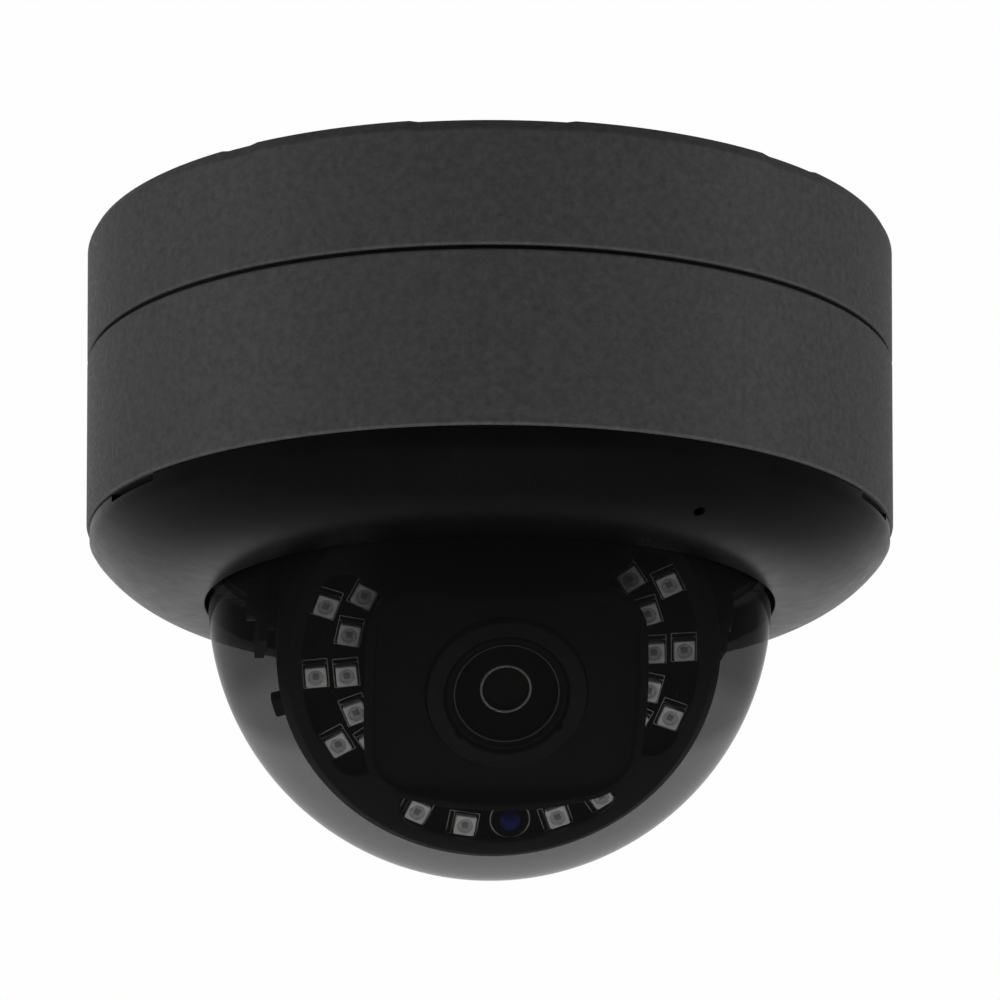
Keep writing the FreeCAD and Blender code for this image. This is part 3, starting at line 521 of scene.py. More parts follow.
materials = {
    "housing_paint": powder_coat("housing_paint", (0.040, 0.040, 0.042)),
    "cover_plastic": moulded("cover_plastic", (0.002, 0.002, 0.0022), 0.3, 0.5, 0.003),
    "seal_rubber": rubber("seal_rubber", (0.006, 0.006, 0.006)),
    "rim_rubber": rubber("rim_rubber", (0.012, 0.012, 0.012)),
    "plug_plastic": moulded("plug_plastic", (0.035, 0.035, 0.037), 0.5),
    "screw_steel": metal("screw_steel", (0.55, 0.55, 0.56), 0.3),
    "board_laminate": circuit_board("board_laminate", (0.01, 0.06, 0.025), (0.03, 0.12, 0.05)),
    "led_board_laminate": circuit_board("led_board_laminate", (0.003, 0.003, 0.003),
                                        (0.009, 0.0085, 0.008)),
    "brass_post": metal("brass_post", (0.6, 0.42, 0.18), 0.32),
    "connector_plastic": moulded("connector_plastic", (0.6, 0.57, 0.48), 0.45),
    "chip_plastic": moulded("chip_plastic", (0.015, 0.015, 0.016), 0.55, 0.12, 0.006),
    "coil_ferrite": moulded("coil_ferrite", (0.05, 0.05, 0.055), 0.6, 0.2, 0.01),
    "capsule_metal": metal("capsule_metal", (0.6, 0.6, 0.6), 0.35),
    "slip_plastic": moulded("slip_plastic", (0.5, 0.5, 0.48), 0.4),
    "bracket_plastic": moulded("bracket_plastic", (0.010, 0.010, 0.011), 0.45),
    "arm_metal": moulded("arm_metal", (0.012, 0.012, 0.013), 0.42, 0.3, 0.006),
    "shell_plastic": moulded("shell_plastic", (0.010, 0.010, 0.011), 0.5),
    "liner_plastic": moulded("liner_plastic", (0.016, 0.016, 0.017), 0.36, 0.3, 0.003),
    "hood_plastic": moulded("hood_plastic", (0.012, 0.012, 0.0125), 0.42, 0.22, 0.005),
    "lens_ring_metal": moulded("lens_ring_metal", (0.018, 0.018, 0.018), 0.38, 0.15, 0.002),
    "lens_barrel_metal": moulded("lens_barrel_metal", (0.010, 0.010, 0.010), 0.34, 0.15, 0.002),
    "led_ceramic": ceramic("led_ceramic", (0.88, 0.88, 0.86)),
    "led_lens_clear": glass("led_lens_clear", (0.75, 0.75, 0.75), 0.25, 0.06),
    "sensor_lens": ceramic("sensor_lens", (0.012, 0.02, 0.16)),
    "iris_black": moulded("iris_black", (0.006, 0.006, 0.006), 0.5, 0.15, 0.002),
    "inner_ring_metal": ceramic("inner_ring_metal", (0.75, 0.75, 0.74)),
    "lens_glass": glass("lens_glass", (0.01, 0.01, 0.012), 0.22),
    "coated_glass": coated_glass("coated_glass"),
    "sensor_glass": ceramic("sensor_glass", (0.03, 0.03, 0.05)),
    "sink_aluminium": metal("sink_aluminium", (0.7, 0.7, 0.71), 0.4),
    # Denser smoke above, thinner below: the lighter lower dome is a painted reflection.
    "smoked_dome": smoked_dome("smoked_dome", (0.004, 0.004, 0.004), 0.77, 0.645),
}
dome_inside = glass("dome_inside", (0.01, 0.01, 0.01), 0.03)
printed_white = printed_ink("printed_white", (0.4, 0.4, 0.38))
# A grey lighter than the black barrel, for the lip ring inside it: a painted highlight where light catches the
# lip.
painted_lip_highlight = ceramic("painted_lip_highlight", (0.10, 0.095, 0.09))
die_dark = ceramic("die_dark", (0.03, 0.02, 0.03))


def dress_cad_nodes():
    """Give every CAD node the material of its slot in the record."""
    for part in frame["record"]["subparts"]:
        node = frame["nodes"][part["node"]]
        node.data.materials.clear()
        node.data.materials.append(materials[part["material_slot"]])


# ---------------------------------------------------------------- housing

RIM_RELIEFS = ((-134.0, 5.0), (-105.0, 20.0), (-54.0, 9.0))
RELIEF_DEPTH = 0.25
QUARTER_ANGLES = (45, 135, 225, 315)
GASKET_GROOVE = (53.0, 56.0)
GROOVE_DEPTH = 1.0
PLATE_THICKNESS = 3.0
GROMMET_SEAT = 8.0
SCREW_CIRCLE = 42.0
SCREW_HOLE = 2.3
CONDUIT_RADIUS = 5.5
CONDUIT_DEPTH = 10.5


def body_radius(height):
    """Outer radius of the cast body, which tapers a little towards its lower rim."""
    return BODY_RADIUS + BODY_DRAFT * (1 - height / HOUSING_LOW)


def stepped(height):
    """The height of the upper rim round the body, lowered over its shallow reliefs."""
    def rise(x, y):
        angle = math.degrees(math.atan2(y, x))
        inside = any(start <= angle <= start + sweep for start, sweep in RIM_RELIEFS)
        return height - (RELIEF_DEPTH if inside else 0.0)
    return rise


def make_mount_base():
    shape = Shape()
    inner = BODY_RADIUS - WALL
    groove_inner, groove_outer = GASKET_GROOVE
    top_radius = body_radius(0)
    outline = rounded([
        (groove_outer, -GROOVE_DEPTH), (groove_outer, 0.0, 0.15), (top_radius - 0.9, 0.0, 0.8),
        (top_radius, -1.7, 1.2), (body_radius(BASE_LOW), BASE_LOW, 0.45), (inner, BASE_LOW, 0.2),
        (inner, -PLATE_THICKNESS, 0.5), (GROMMET_SEAT, -PLATE_THICKNESS, 0.1),
        (GROMMET_SEAT, 0.0, 0.1), (groove_inner, 0.0, 0.15), (groove_inner, -GROOVE_DEPTH)])
    rows = []
    for radius, height in outline:
        on_rim = radius > groove_outer + 0.5 and height > -2.5
        rows.append(shape.row(circle_loop(radius), stepped(height) if on_rim else height))
    shape.rows(rows, closed=True)
    base = shape.piece("mount_base_shell", "housing", "housing_paint", ["mount_base"])
    for angle in QUARTER_ANGLES:
        hole = Shape()
        x = SCREW_CIRCLE * math.cos(math.radians(angle))
        y = SCREW_CIRCLE * math.sin(math.radians(angle))
        mouth = SCREW_HOLE + 0.5
        hole.lathe([(0, -5), (SCREW_HOLE, -5), (SCREW_HOLE, -0.3), (mouth, 0.3), (mouth, 1), (0, 1)],
                   48, False, x, y)
        cut_away(base, hole)
    start, end = BODY_RADIUS - 9, BODY_RADIUS + 3
    entry = Shape()
    entry.lathe([(0, start), (CONDUIT_RADIUS, start), (CONDUIT_RADIUS, end), (0, end)], 64, False)
    entry.mesh.transform(spot(0, 0, -CONDUIT_DEPTH) @ Matrix.Rotation(-math.pi / 2, 4, "X"))
    cut_away(base, entry)


HUB_BORE = 24.05
SPIGOT = (56.4, 58.2)
SPIGOT_RISE = 2


def make_main_housing():
    shape = Shape()
    top, low, inner = HOUSING_TOP, HOUSING_LOW, BODY_RADIUS - WALL
    spigot_inner, spigot_outer = SPIGOT
    spigot_top = top + SPIGOT_RISE
    shape.lathe(rounded([
        (HUB_BORE, top), (spigot_inner, top), (spigot_inner, spigot_top, 0.2),
        (spigot_outer, spigot_top, 0.2), (spigot_outer, top), (body_radius(top), top, 0.45),
        (BODY_RADIUS, low, 0.4), (inner, low, 0.2), (inner, top - WALL, 0.6),
        (HUB_BORE, top - WALL, 0.1)]))
    shape.piece("main_housing_shell", "housing", "housing_paint", ["main_housing"])


# ---------------------------------------------------------------- trim cover and dome

NOTCH_ANGLES = (-90 - 65.3, -90 + 65.3)
NOTCH_SIZE = (6, 13.8, 3.0)
PINHOLE_REACH = 10.7
PINHOLE_ANGLE = -90 + 28
BOWL_RADIUS = 21.0
OPENING_RADIUS = 42.9
COVER_RADIUS = 60.5
COVER_WALL = 2.2
COVER_GAP = 0.1
COVER_SPIGOT = (56.3, 58.2)
COVER_SPIGOT_RISE = 3.3
SEAT_HEIGHT = 2.3
SEAT_RADIUS = 47.5
FLANGE_RADIUS = 46.4
FLANGE_THICKNESS = 2.0


def make_trim_cover():
    middle = (OPENING_RADIUS + 0.4, COVER_LOW + BOWL_RADIUS)
    lip = COVER_RADIUS
    lip_turn = math.degrees(math.acos((lip - middle[0]) / BOWL_RADIUS))
    lip_low = middle[1] - BOWL_RADIUS * math.sin(math.radians(lip_turn))
    inner_ball = BOWL_RADIUS - COVER_WALL
    spigot_inner, spigot_outer = COVER_SPIGOT
    spigot_turn = math.degrees(math.acos((spigot_inner - middle[0]) / inner_ball))
    top = HOUSING_LOW - COVER_GAP
    spigot_top = top + COVER_SPIGOT_RISE
    seat = COVER_LOW + SEAT_HEIGHT
    outline = [(OPENING_RADIUS, seat)]
    outline += rounded([(OPENING_RADIUS, seat), (OPENING_RADIUS, COVER_LOW, 0.35),
                        (middle[0] + 2, COVER_LOW)], closed=False)[1:-1]
    outline += arc_points(middle, BOWL_RADIUS, -88.5, -lip_turn - 2.5, 30)
    outline += rounded([(lip, lip_low + 0.2), (lip, top, 0.25), (spigot_outer, top)],
                       closed=False)[:-1]
    outline += [(spigot_outer, top), (spigot_outer, spigot_top - 0.2),
                (spigot_outer - 0.2, spigot_top), (spigot_inner + 0.2, spigot_top),
                (spigot_inner, spigot_top - 0.2)]
    outline += arc_points(middle, inner_ball, -spigot_turn, -77.5, 16)
    outline += [(SEAT_RADIUS, seat)]
    shape = Shape()
    shape.lathe(outline)
    cover = shape.piece("trim_cover_shell", "dome_cover", "cover_plastic", ["trim_cover"])
    for angle in NOTCH_ANGLES:
        notch = Shape()
        notch.box(NOTCH_SIZE, around(BODY_RADIUS + 0.8, angle, top + 0.3), 0.3)
        cut_away(cover, notch)
    pinhole = Shape()
    pinhole.lathe([(0, 17), (0.7, 17), (0.7, 20.6), (1.0, 21.2), (1.0, 24), (0, 24)], 40, False)
    pinhole.mesh.transform(bowl_place(PINHOLE_REACH, PINHOLE_ANGLE))
    cut_away(cover, pinhole)


def bowl_place(reach, angle):
    """A place at the bowl's own centre of curvature, with Z pointing out through its wall."""
    lean = math.asin(reach / BOWL_RADIUS)
    turn = Matrix.Rotation(math.radians(angle), 4, "Z")
    centre = Matrix.Translation(((OPENING_RADIUS + 0.4) * MM, 0, (COVER_LOW + BOWL_RADIUS) * MM))
    return turn @ centre @ Matrix.Rotation(math.pi - lean, 4, "Y")


def make_dome():
    """The bubble. Its outer face carries the smoke and the painted reflection low down, and its inner face is
    clear.
    """
    inner = DOME_RADIUS - DOME_WALL
    flange_low = FLANGE_TOP - FLANGE_THICKNESS
    outline = rounded([(inner, FLANGE_TOP, 0.2), (FLANGE_RADIUS, FLANGE_TOP, 0.2),
                       (FLANGE_RADIUS, flange_low, 0.2), (DOME_RADIUS, flange_low)], closed=False)
    outline += arc_points((0, DOME_CENTRE), DOME_RADIUS, 0, -90, 72)
    outline[-1] = (0, DOME_CENTRE - DOME_RADIUS)
    inside = arc_points((0, DOME_CENTRE), inner, -90, 0, 72)
    inside[0] = (0, DOME_CENTRE - inner)
    shape = Shape()
    shape.lathe(outline + inside)
    dome = shape.piece("dome_bubble_shell", "dome_cover", "smoked_dome", ["dome_bubble"], sharp=60)
    dome.data.materials.append(dome_inside)
    middle, limit = Vector((0, 0, DOME_CENTRE * MM)), (inner + 0.3) * MM
    for face in dome.data.polygons:
        if (face.center - middle).length < limit:
            face.material_index = 1


# ---------------------------------------------------------------- camera module: liner

LINER_RADIUS = 32.8
LINER_WALL = 1.1
LINER_BORE = 22.0
LINER_BALL = 37.9
LINER_FRONT = 21.5
LINER_BACK = 7.0
FACE_RADIUS = 31.35
COLLAR_RADIUS = 17.0
BOARD_FRONT = 20.0
ROLL_TAB_ANGLE = 192.5
WINDOWS = ((18.5, 29.2, 4.0, -40, 37), (18.5, 29.2, 4.0, 143, 219), (22.0, 29.2, 4.0, -128, -52))


def make_front_liner():
    shape = Shape()
    shoulder = math.sqrt(LINER_BALL ** 2 - LINER_RADIUS ** 2)
    start = math.degrees(math.atan2(shoulder, LINER_RADIUS))
    end = math.degrees(math.atan2(LINER_FRONT - 0.25, FACE_RADIUS))
    outside = rounded([(LINER_BORE, LINER_BACK), (LINER_RADIUS, LINER_BACK, 0.2),
                       (LINER_RADIUS, shoulder)], closed=False)
    outside += arc_points((0, 0), LINER_BALL, start, end, 10)
    outside += [(FACE_RADIUS - 0.12, LINER_FRONT - 0.08), (FACE_RADIUS - 0.35, LINER_FRONT)]
    side_inner = LINER_RADIUS - LINER_WALL
    back_inner = LINER_BACK + 1.4
    inside = [(30.4, BOARD_FRONT), (side_inner, shoulder - 0.4), (side_inner, back_inner),
              (LINER_BORE, back_inner)]
    collar, step = COLLAR_RADIUS, LINER_FRONT - 0.7
    neck = rounded([(collar + 0.4, LINER_FRONT), (collar, LINER_FRONT, 0.2), (collar, step, 0.1),
                    (collar - 1, step, 0.2), (collar - 1, BOARD_FRONT)], closed=False)
    outer_rows = shape.rows([shape.row(circle_loop(r), z) for r, z in outside])
    inner_rows = shape.rows([shape.row(circle_loop(r), z) for r, z in inside])
    neck_rows = shape.rows([shape.row(circle_loop(r), z) for r, z in neck])
    shape.strip(inner_rows[-1], outer_rows[0])
    upper, lower = [], []
    for inner, outer, corner, first, last in WINDOWS:
        levels = ((0.3, LINER_FRONT), (0.12, LINER_FRONT - 0.06), (0.0, LINER_FRONT - 0.3),
                  (0.0, BOARD_FRONT))
        rows = shape.rows([shape.row(sector_loop(inner, outer, corner, first, last, grow), z)
                           for grow, z in levels])
        upper.append(rows[0])
        lower.append(rows[-1])
    shape.cap(outer_rows[-1], neck_rows[0], *upper)
    shape.cap(inner_rows[0], neck_rows[-1], *lower)
    shape.box((3.0, 3.0, 3.0), around(LINER_RADIUS + 0.25, ROLL_TAB_ANGLE, 14.0), 0.3)
    shape.piece("front_liner_shell", "camera_module", "liner_plastic", ["front_liner"], module_place)


# ---------------------------------------------------------------- camera module: hood

# Half width, half height and corner radius of the hood at its back, where it starts to flare.
HOOD = (19.3, 15.6, 6.0)
HOOD_FLARE = math.tan(math.radians(13))
HOOD_TURN = math.radians(-4.5)
HOOD_SHIFT = -1.0
HOOD_BACK = 26.0
HOOD_RIM = 1.6
HOOD_BALL = 37.2
RIM_BALL = 38.4
PLATE_BALL = 70.0
PLATE_FRONT = 33.4
NECK_RADIUS = 15.5
NECK_BACK = 14.0
LENS_HOLE = 11.8
hood_place = module_place @ Matrix.Rotation(HOOD_TURN, 4, "Z")


def on_ball(radius, centre=0.0):
    """Height of a sphere over a point."""
    return lambda x, y: centre + math.sqrt(radius ** 2 - x * x - y * y)


def hood_loop(inset, height):
    """The hood's outline at a height, set in from its flared side."""
    wide, tall, corner = HOOD
    grow = (height - HOOD_BACK) * HOOD_FLARE - inset
    outline = rounded_rectangle(wide + grow, tall + grow, max(corner + grow, 0.5))
    return [(x, y + HOOD_SHIFT) for x, y in outline]


def hood_ring(shape, inset, surface):
    """Where the flared outline meets a surface, given as a height over each point."""
    loop = []
    for index in range(len(hood_loop(inset, HOOD_BACK))):
        height = PLATE_FRONT
        for _ in range(12):
            x, y = hood_loop(inset, height)[index]
            height = surface(x, y)
        loop.append((x, y))
    return shape.row(loop, surface)


def raised(surface, rise):
    """A surface moved along the optical axis."""
    return lambda x, y: surface(x, y) + rise


def blended_loop(inset, height, radius, share):
    """Between the hood's rounded rectangle and a circle."""
    loop = []
    for x, y in hood_loop(inset, height):
        scale = 1 + (radius / math.hypot(x, y) - 1) * share
        loop.append((x * scale, y * scale))
    return loop


def neck_loop(radius):
    """A circle whose points line up with those of the hood's outline."""
    return blended_loop(0, HOOD_BACK, radius, 1)


def make_hood():
    shape = Shape()
    plate = on_ball(PLATE_BALL, PLATE_FRONT - PLATE_BALL)
    rows = [shape.row(neck_loop(LENS_HOLE), NECK_BACK), shape.row(neck_loop(NECK_RADIUS), NECK_BACK),
            shape.row(neck_loop(NECK_RADIUS), HOOD_BACK - 0.4)]
    rows += [shape.row(hood_loop(inset, HOOD_BACK), z)
             for inset, z in ((1.0, HOOD_BACK), (0.4, HOOD_BACK + 0.12), (0.1, HOOD_BACK + 0.45))]
    rows.append(shape.row(hood_loop(0.0, HOOD_BACK + 0.9), HOOD_BACK + 0.9))
    rows += [hood_ring(shape, inset, on_ball(HOOD_BALL - drop))
             for inset, drop in ((0.0, 0.15), (0.1, 0.0), (1.5, 0.0), (1.6, 0.1))]
    rows += [hood_ring(shape, HOOD_RIM + inset, raised(plate, rise))
             for inset, rise in ((0.0, 0.7), (0.1, 0.35), (0.35, 0.1), (0.7, 0.0))]
    edge, steps = HOOD_RIM + 0.7, 12
    for step in range(1, steps + 1):
        loop = blended_loop(edge, PLATE_FRONT - 3, LENS_HOLE + 0.4, step / steps)
        rows.append(shape.row(loop, plate))
    rows += [shape.row(neck_loop(LENS_HOLE + 0.1), raised(plate, -0.1)),
             shape.row(neck_loop(LENS_HOLE), raised(plate, -0.4)),
             shape.row(neck_loop(LENS_HOLE), NECK_BACK)]
    shape.rows(rows, closed=True)
    shape.piece("lens_hood_shell", "camera_module", "hood_plastic", ["lens_hood"], hood_place)


def make_hood_gasket():
    """The soft rim that closes the hood against the dome."""
    shape = Shape()
    section = ((0.0, HOOD_BALL), (0.0, RIM_BALL - 0.5), (0.15, RIM_BALL - 0.15), (0.5, RIM_BALL),
               (1.1, RIM_BALL), (1.45, RIM_BALL - 0.15), (1.6, RIM_BALL - 0.5),
               (1.6, HOOD_BALL - 0.5), (1.5, HOOD_BALL))
    rows = [hood_ring(shape, inset, on_ball(radius)) for inset, radius in section]
    shape.rows(rows, closed=True)
    shape.piece("hood_rim_seal", "camera_module", "rim_rubber", ["hood_gasket"], hood_place)


# ---------------------------------------------------------------- camera module: lens

LENS_STEPS = 192
GLASS_STEPS = 160
LENS_RING_RADIUS = 11.6
LENS_RING_STEP = 9.2
KEY_ANGLES = (-38, -142)
BARREL_RADIUS = 8.8
BARREL_BORE = 6.2
BARREL_BACK = 9.0
GLASS_RADIUS = 7.6
GLASS_BULGE = 25.0
GLASS_SEAT = PLATE_FRONT - 3.0
INNER_LENS_RADIUS = 6.15
INNER_LENS_BULGE = 15.0
IRIS_HOLE = 3.4
IRIS_THICKNESS = 0.4


def make_lens_ring():
    front, inner, step = PLATE_FRONT, BARREL_RADIUS + 0.05, LENS_RING_STEP
    shape = Shape()
    shape.lathe(rounded([(inner, front - 3.9), (LENS_RING_RADIUS, front - 3.9, 0.1),
                         (LENS_RING_RADIUS, front, 0.3), (step, front, 0.25),
                         (step, front - 2.9, 0.1), (inner, front - 2.9)]), LENS_STEPS)
    ring = shape.piece("lens_ring_shell", "camera_module", "lens_ring_metal", ["lens_ring"])
    for angle in KEY_ANGLES:
        key = Shape()
        key.box((0.8, 1.2, 4), around(step, angle, front + 0.3), 0.25)
        cut_away(ring, key)
    ring.data.transform(module_place)


def make_lens_barrel():
    front, outer, lip = PLATE_FRONT, BARREL_RADIUS, GLASS_RADIUS + 0.1
    shape = Shape()
    shape.lathe(rounded([
        (BARREL_BORE, BARREL_BACK), (outer, BARREL_BACK), (outer, front - 0.4, 0.2),
        (8.35, front - 0.4, 0.1), (8.0, front - 0.9, 0.1), (lip, front - 1.0, 0.1),
        (lip, GLASS_SEAT), (BARREL_BORE, GLASS_SEAT)]), LENS_STEPS)
    shape.piece("lens_barrel_tube", "camera_module", "lens_barrel_metal", ["lens_barrel"],
                module_place)
    edge = Shape()
    edge.lathe(rounded([(lip - 0.2, front - 0.95), (lip, front - 0.95), (lip, front - 0.72, 0.05),
                        (lip - 0.2, front - 0.78, 0.05)]), LENS_STEPS)
    ring = edge.piece("lens_edge_ring", "camera_module", "inner_ring_metal", (), module_place)
    # The lip ring gets the lighter grey as a painted highlight.
    ring.data.materials[0] = painted_lip_highlight


def lens_outline(radius, bulge, back, edge_height, steps):
    """Half the section of a lens that is flat at its back and bulges at its front."""
    edge = math.asin(radius / bulge)
    centre = edge_height - bulge * math.cos(edge)
    return [(0, back), (radius, back)] + cap_points(centre, bulge, 90 - math.degrees(edge), steps)


def make_front_glass():
    shape = Shape()
    shape.lathe(lens_outline(GLASS_RADIUS, GLASS_BULGE, GLASS_SEAT + 1.0, GLASS_SEAT + 1.6, 24),
                GLASS_STEPS, False)
    shape.piece("front_glass_lens", "camera_module", "lens_glass", ["front_glass"],
                module_place, 60)


def make_iris():
    """The dark disc behind the front glass, and the pale ring round its hole."""
    low, top = GLASS_SEAT, GLASS_SEAT + IRIS_THICKNESS
    iris = Shape()
    iris.lathe([(IRIS_HOLE, low), (GLASS_RADIUS, low), (GLASS_RADIUS, top), (IRIS_HOLE, top)],
               GLASS_STEPS)
    iris.piece("iris_disc", "camera_module", "iris_black", ["iris_plate"], module_place)
    inner, outer = IRIS_HOLE + 0.02, IRIS_HOLE + 0.38
    ring = Shape()
    ring.lathe(rounded([(inner, top), (outer, top), (outer, top + 0.25, 0.1),
                        (inner, top + 0.25, 0.1)]), GLASS_STEPS)
    ring.piece("aperture_ring", "camera_module", "inner_ring_metal", ["lens_inner_ring"],
               module_place)


def make_inner_lens():
    shape = Shape()
    shape.lathe(lens_outline(INNER_LENS_RADIUS, INNER_LENS_BULGE, GLASS_SEAT - 3.0,
                             GLASS_SEAT - 1.4, 20), GLASS_STEPS, False)
    shape.piece("inner_lens", "camera_module", "coated_glass", ["inner_glass"], module_place, 60)


# ---------------------------------------------------------------- camera module: lights

OUTER_LED_ANGLES = (21.7, -1.3, -24.6, -59.2, -74.4, -103.9, -119.8, 157.0, 181.0, 205.4)
INNER_LED_ANGLES = (30.2, 14.2, -1.6, -17.1, -31.0, 148.7, 165.1, 181.7, 197.3, 211.0)
OUTER_CIRCLE = 27.2
INNER_CIRCLE = 22.7
LEDS = [(OUTER_CIRCLE, angle) for angle in OUTER_LED_ANGLES]
LEDS += [(INNER_CIRCLE, angle) for angle in INNER_LED_ANGLES]
LED_HALF = 1.55
LED_HEIGHT = 0.9
SENSOR_CIRCLE = 26.3
SENSOR_ANGLE = -89.5
SENSOR_RADIUS = 1.5
PRINT_THICKNESS = 0.03


def led_package(shape, place):
    """One square package with a round cup in its top."""
    low, top = BOARD_FRONT, BOARD_FRONT + LED_HEIGHT
    mark = shape.mark()
    walls = []
    for inset, z in ((0, low), (0, top - 0.1), (0.1, top)):
        half = LED_HALF - inset
        walls.append(shape.row(rounded_rectangle(half, half, 0.3, 8, 4), z))
    cup = [shape.row(circle_loop(radius, 48), z)
           for radius, z in ((1.28, top), (1.22, top - 0.05), (0.9, top - 0.35))]
    shape.rows(walls)
    shape.rows(cup)
    shape.cap(walls[-1], cup[0])
    shape.disc(cup[-1])
    shape.disc(walls[0])
    shape.move_since(mark, place)


def led_lens(shape, place):
    """The clear dome of one light."""
    top = BOARD_FRONT + LED_HEIGHT
    mark = shape.mark()
    cap = cap_points(top - 1.2, 1.7, 45, 10)
    shape.lathe([(0, top - 0.16), (1.0, top - 0.16), (1.18, top - 0.02)] + cap, 40, False)
    shape.move_since(mark, place)


def print_frame(shape, place, angle):
    """The printed outline round one light, with its polarity bar at the upper or left end."""
    wide, line, height = 1.85, 0.13, BOARD_FRONT + PRINT_THICKNESS / 2
    on_right = abs((angle + 180) % 360 - 180) < 45
    end = 1 if on_right else -1
    for side in (-wide, wide):
        shape.box((line, 4.5, PRINT_THICKNESS), place @ spot(side, 0.3 * end, height))
    for along in (-1.95 * end, 1.8 * end, 2.55 * end):
        shape.box((2 * wide, line, PRINT_THICKNESS), place @ spot(0, along, height))


def make_leds():
    packages, dies, lenses, prints, pads = Shape(), Shape(), Shape(), Shape(), Shape()
    die_height = BOARD_FRONT + LED_HEIGHT - 0.3
    for radius, angle in LEDS:
        place = around(radius, angle, 0)
        led_package(packages, place)
        dies.box((0.95, 0.95, 0.14), place @ spot(0, 0, die_height), 0.03)
        for side in (-1, 1):
            pad = spot(0, side * (LED_HALF + 0.12), BOARD_FRONT + 0.03)
            pads.box((2.2, 0.3, 0.08), place @ pad, 0.02)
        print_frame(prints, place, angle)
        led_lens(lenses, place)
    packages.piece("led_package_set", "camera_module", "led_ceramic", ["led_packages"], module_place)
    lenses.piece("led_lens_set", "camera_module", "led_lens_clear", ["led_lenses"], module_place, 60)
    pads.piece("led_solder_pads", "camera_module", "screw_steel", (), module_place)
    chips = dies.piece("led_chips", "camera_module", "chip_plastic", (), module_place)
    chips.data.materials[0] = die_dark
    frames = prints.piece("board_print", "camera_module", "led_board_laminate", (), module_place)
    frames.data.materials[0] = printed_white


def make_light_sensor():
    place = around(SENSOR_CIRCLE, SENSOR_ANGLE, 0)
    low, top = BOARD_FRONT, BOARD_FRONT + PRINT_THICKNESS
    lens = Shape()
    lens.lathe([(0, low), (SENSOR_RADIUS, low), (SENSOR_RADIUS, low + 0.6)]
               + cap_points(low + 0.1, SENSOR_RADIUS, 25, 10), 48, False)
    lens.mesh.transform(place)
    lens.piece("light_sensor_lens", "camera_module", "sensor_lens", ["light_sensor"], module_place, 50)
    ring = Shape()
    ring.lathe(rounded([(2.85, low), (3.05, low), (3.05, top), (2.85, top)]), 64)
    ring.mesh.transform(place)
    piece = ring.piece("sensor_print", "camera_module", "led_board_laminate", (), module_place)
    piece.data.materials[0] = printed_white


# ---------------------------------------------------------------- studio

def away(azimuth, elevation):
    """The direction from the object to something around it, in degrees. Azimuth 0 is its front."""
    turn, rise = math.radians(azimuth), math.radians(elevation)
    return Vector((math.sin(turn) * math.cos(rise), -math.cos(turn) * math.cos(rise),
                   math.sin(rise)))


FLOOR_HEIGHT = -1.4
FLOOR_HALF = 6.0


def make_floor():
    shape = bmesh.new()
    bmesh.ops.create_grid(shape, x_segments=8, y_segments=8, size=FLOOR_HALF)
    data = bpy.data.meshes.new("floor")
    shape.to_mesh(data)
    shape.free()
    floor = bpy.data.objects.new("floor", data)
    floor.location.z = FLOOR_HEIGHT
    floor.visible_glossy = False
    floor.visible_diffuse = False
    bpy.context.scene.collection.objects.link(floor)
    pale = Recipe("floor_paint", (0.82, 0.82, 0.82), 0.8)
    pale.mottle(400.0, 0.02)
    data.materials.append(pale.material)


def make_softbox(name, size, distance, azimuth, elevation, power):
    lamp = bpy.data.lights.new(name, "AREA")
    lamp.shape = "RECTANGLE"
    lamp.size, lamp.size_y = size
    lamp.energy = power
    box = bpy.data.objects.new(name, lamp)
    back = away(azimuth, elevation)
    box.location = Vector((0, 0, DOME_CENTRE * MM)) + back * distance
    box.rotation_mode = "QUATERNION"
    box.rotation_quaternion = back.to_track_quat("Z", "Y")
    box.visible_glossy = False
    bpy.context.scene.collection.objects.link(box)


def world_ramp(tree, source, stops):
    """Grey tones along a value: each stop is (place, tone)."""
    ramp = tree.nodes.new("ShaderNodeValToRGB")
    elements = ramp.color_ramp.elements
    while len(elements) < len(stops):
        elements.new(0.5)
    for element, (place, tone) in zip(elements, stops):
        element.position = place
        element.color = (tone, tone, tone, 1)
    tree.links.new(source, ramp.inputs["Fac"])
    return ramp.outputs["Color"]


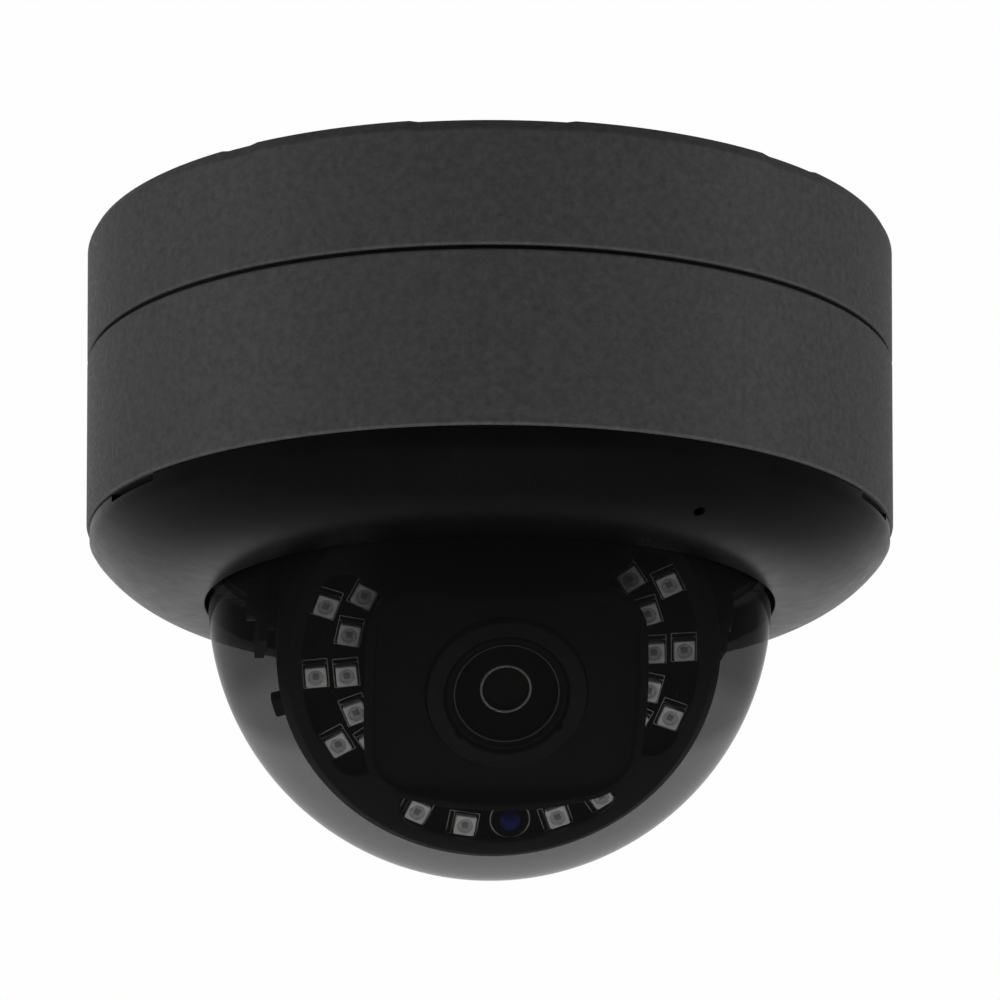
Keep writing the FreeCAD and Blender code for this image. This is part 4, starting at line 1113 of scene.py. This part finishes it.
def make_world():
    """A white room that is bright behind the object and dim in front, dimmer still in reflections."""
    world = bpy.data.worlds.new("studio")
    world.use_nodes = True
    tree = world.node_tree
    nodes, links = tree.nodes, tree.links
    direction = nodes.new("ShaderNodeTexCoord").outputs["Generated"]
    split = nodes.new("ShaderNodeSeparateXYZ")
    links.new(direction, split.inputs[0])
    behind = nodes.new("ShaderNodeMapRange")
    behind.inputs["From Min"].default_value = -1.0
    links.new(split.outputs["Y"], behind.inputs["Value"])
    soft = world_ramp(tree, behind.outputs["Result"], ((0.0, 0.12), (0.5, 0.6), (1.0, 1.0)))
    mirrored = world_ramp(tree, behind.outputs["Result"],
                          ((0.0, 0.02), (0.62, 0.045), (0.84, 0.17), (0.97, 0.6)))
    path = nodes.new("ShaderNodeLightPath")
    lit = nodes.new("ShaderNodeMix")
    lit.data_type = "RGBA"
    links.new(path.outputs["Is Glossy Ray"], lit.inputs["Factor"])
    links.new(soft, lit.inputs[6])
    links.new(mirrored, lit.inputs[7])
    seen = nodes.new("ShaderNodeMix")
    seen.data_type = "RGBA"
    links.new(path.outputs["Is Camera Ray"], seen.inputs["Factor"])
    links.new(lit.outputs[2], seen.inputs[6])
    seen.inputs[7].default_value = (0.99, 0.99, 0.99, 1)
    links.new(seen.outputs[2], nodes["Background"].inputs["Color"])
    bpy.context.scene.world = world
    bpy.context.scene.view_settings.view_transform = "Standard"


def make_studio():
    make_world()
    make_floor()
    make_softbox("left_softbox", (0.7, 1.2), 1.3, -78, 0, 12.0)
    make_softbox("right_softbox", (0.7, 1.2), 1.3, 72, 0, 12.0)
    make_softbox("low_softbox", (0.5, 0.5), 1.0, 0, -68, 12.0)


VIEW_AZIMUTH = -5.4
VIEW_ELEVATION = -15.31
VIEW_DISTANCE = 0.7
AIM_HEIGHT = -39.5


def make_camera():
    """Below the ceiling line, looking up at the dome camera a little from its side."""
    target = Vector((0, 0, AIM_HEIGHT * MM))
    back = away(VIEW_AZIMUTH, VIEW_ELEVATION)
    data = bpy.data.cameras.new("camera")
    data.sensor_width = 36.0
    data.lens = 165.7
    data.shift_x = 0.0102
    data.clip_start = 0.01
    camera = bpy.data.objects.new("camera", data)
    camera.location = target + back * VIEW_DISTANCE
    camera.rotation_mode = "QUATERNION"
    camera.rotation_quaternion = (-back).to_track_quat("-Z", "Y")
    bpy.context.scene.collection.objects.link(camera)
    bpy.context.scene.camera = camera


# ---------------------------------------------------------------- the whole scene

make_camera()
make_studio()
dress_cad_nodes()
make_mount_base()
make_main_housing()
make_trim_cover()
make_dome()
make_front_liner()
make_hood()
make_hood_gasket()
make_lens_ring()
make_lens_barrel()
make_front_glass()
make_iris()
make_inner_lens()
make_leds()
make_light_sensor()
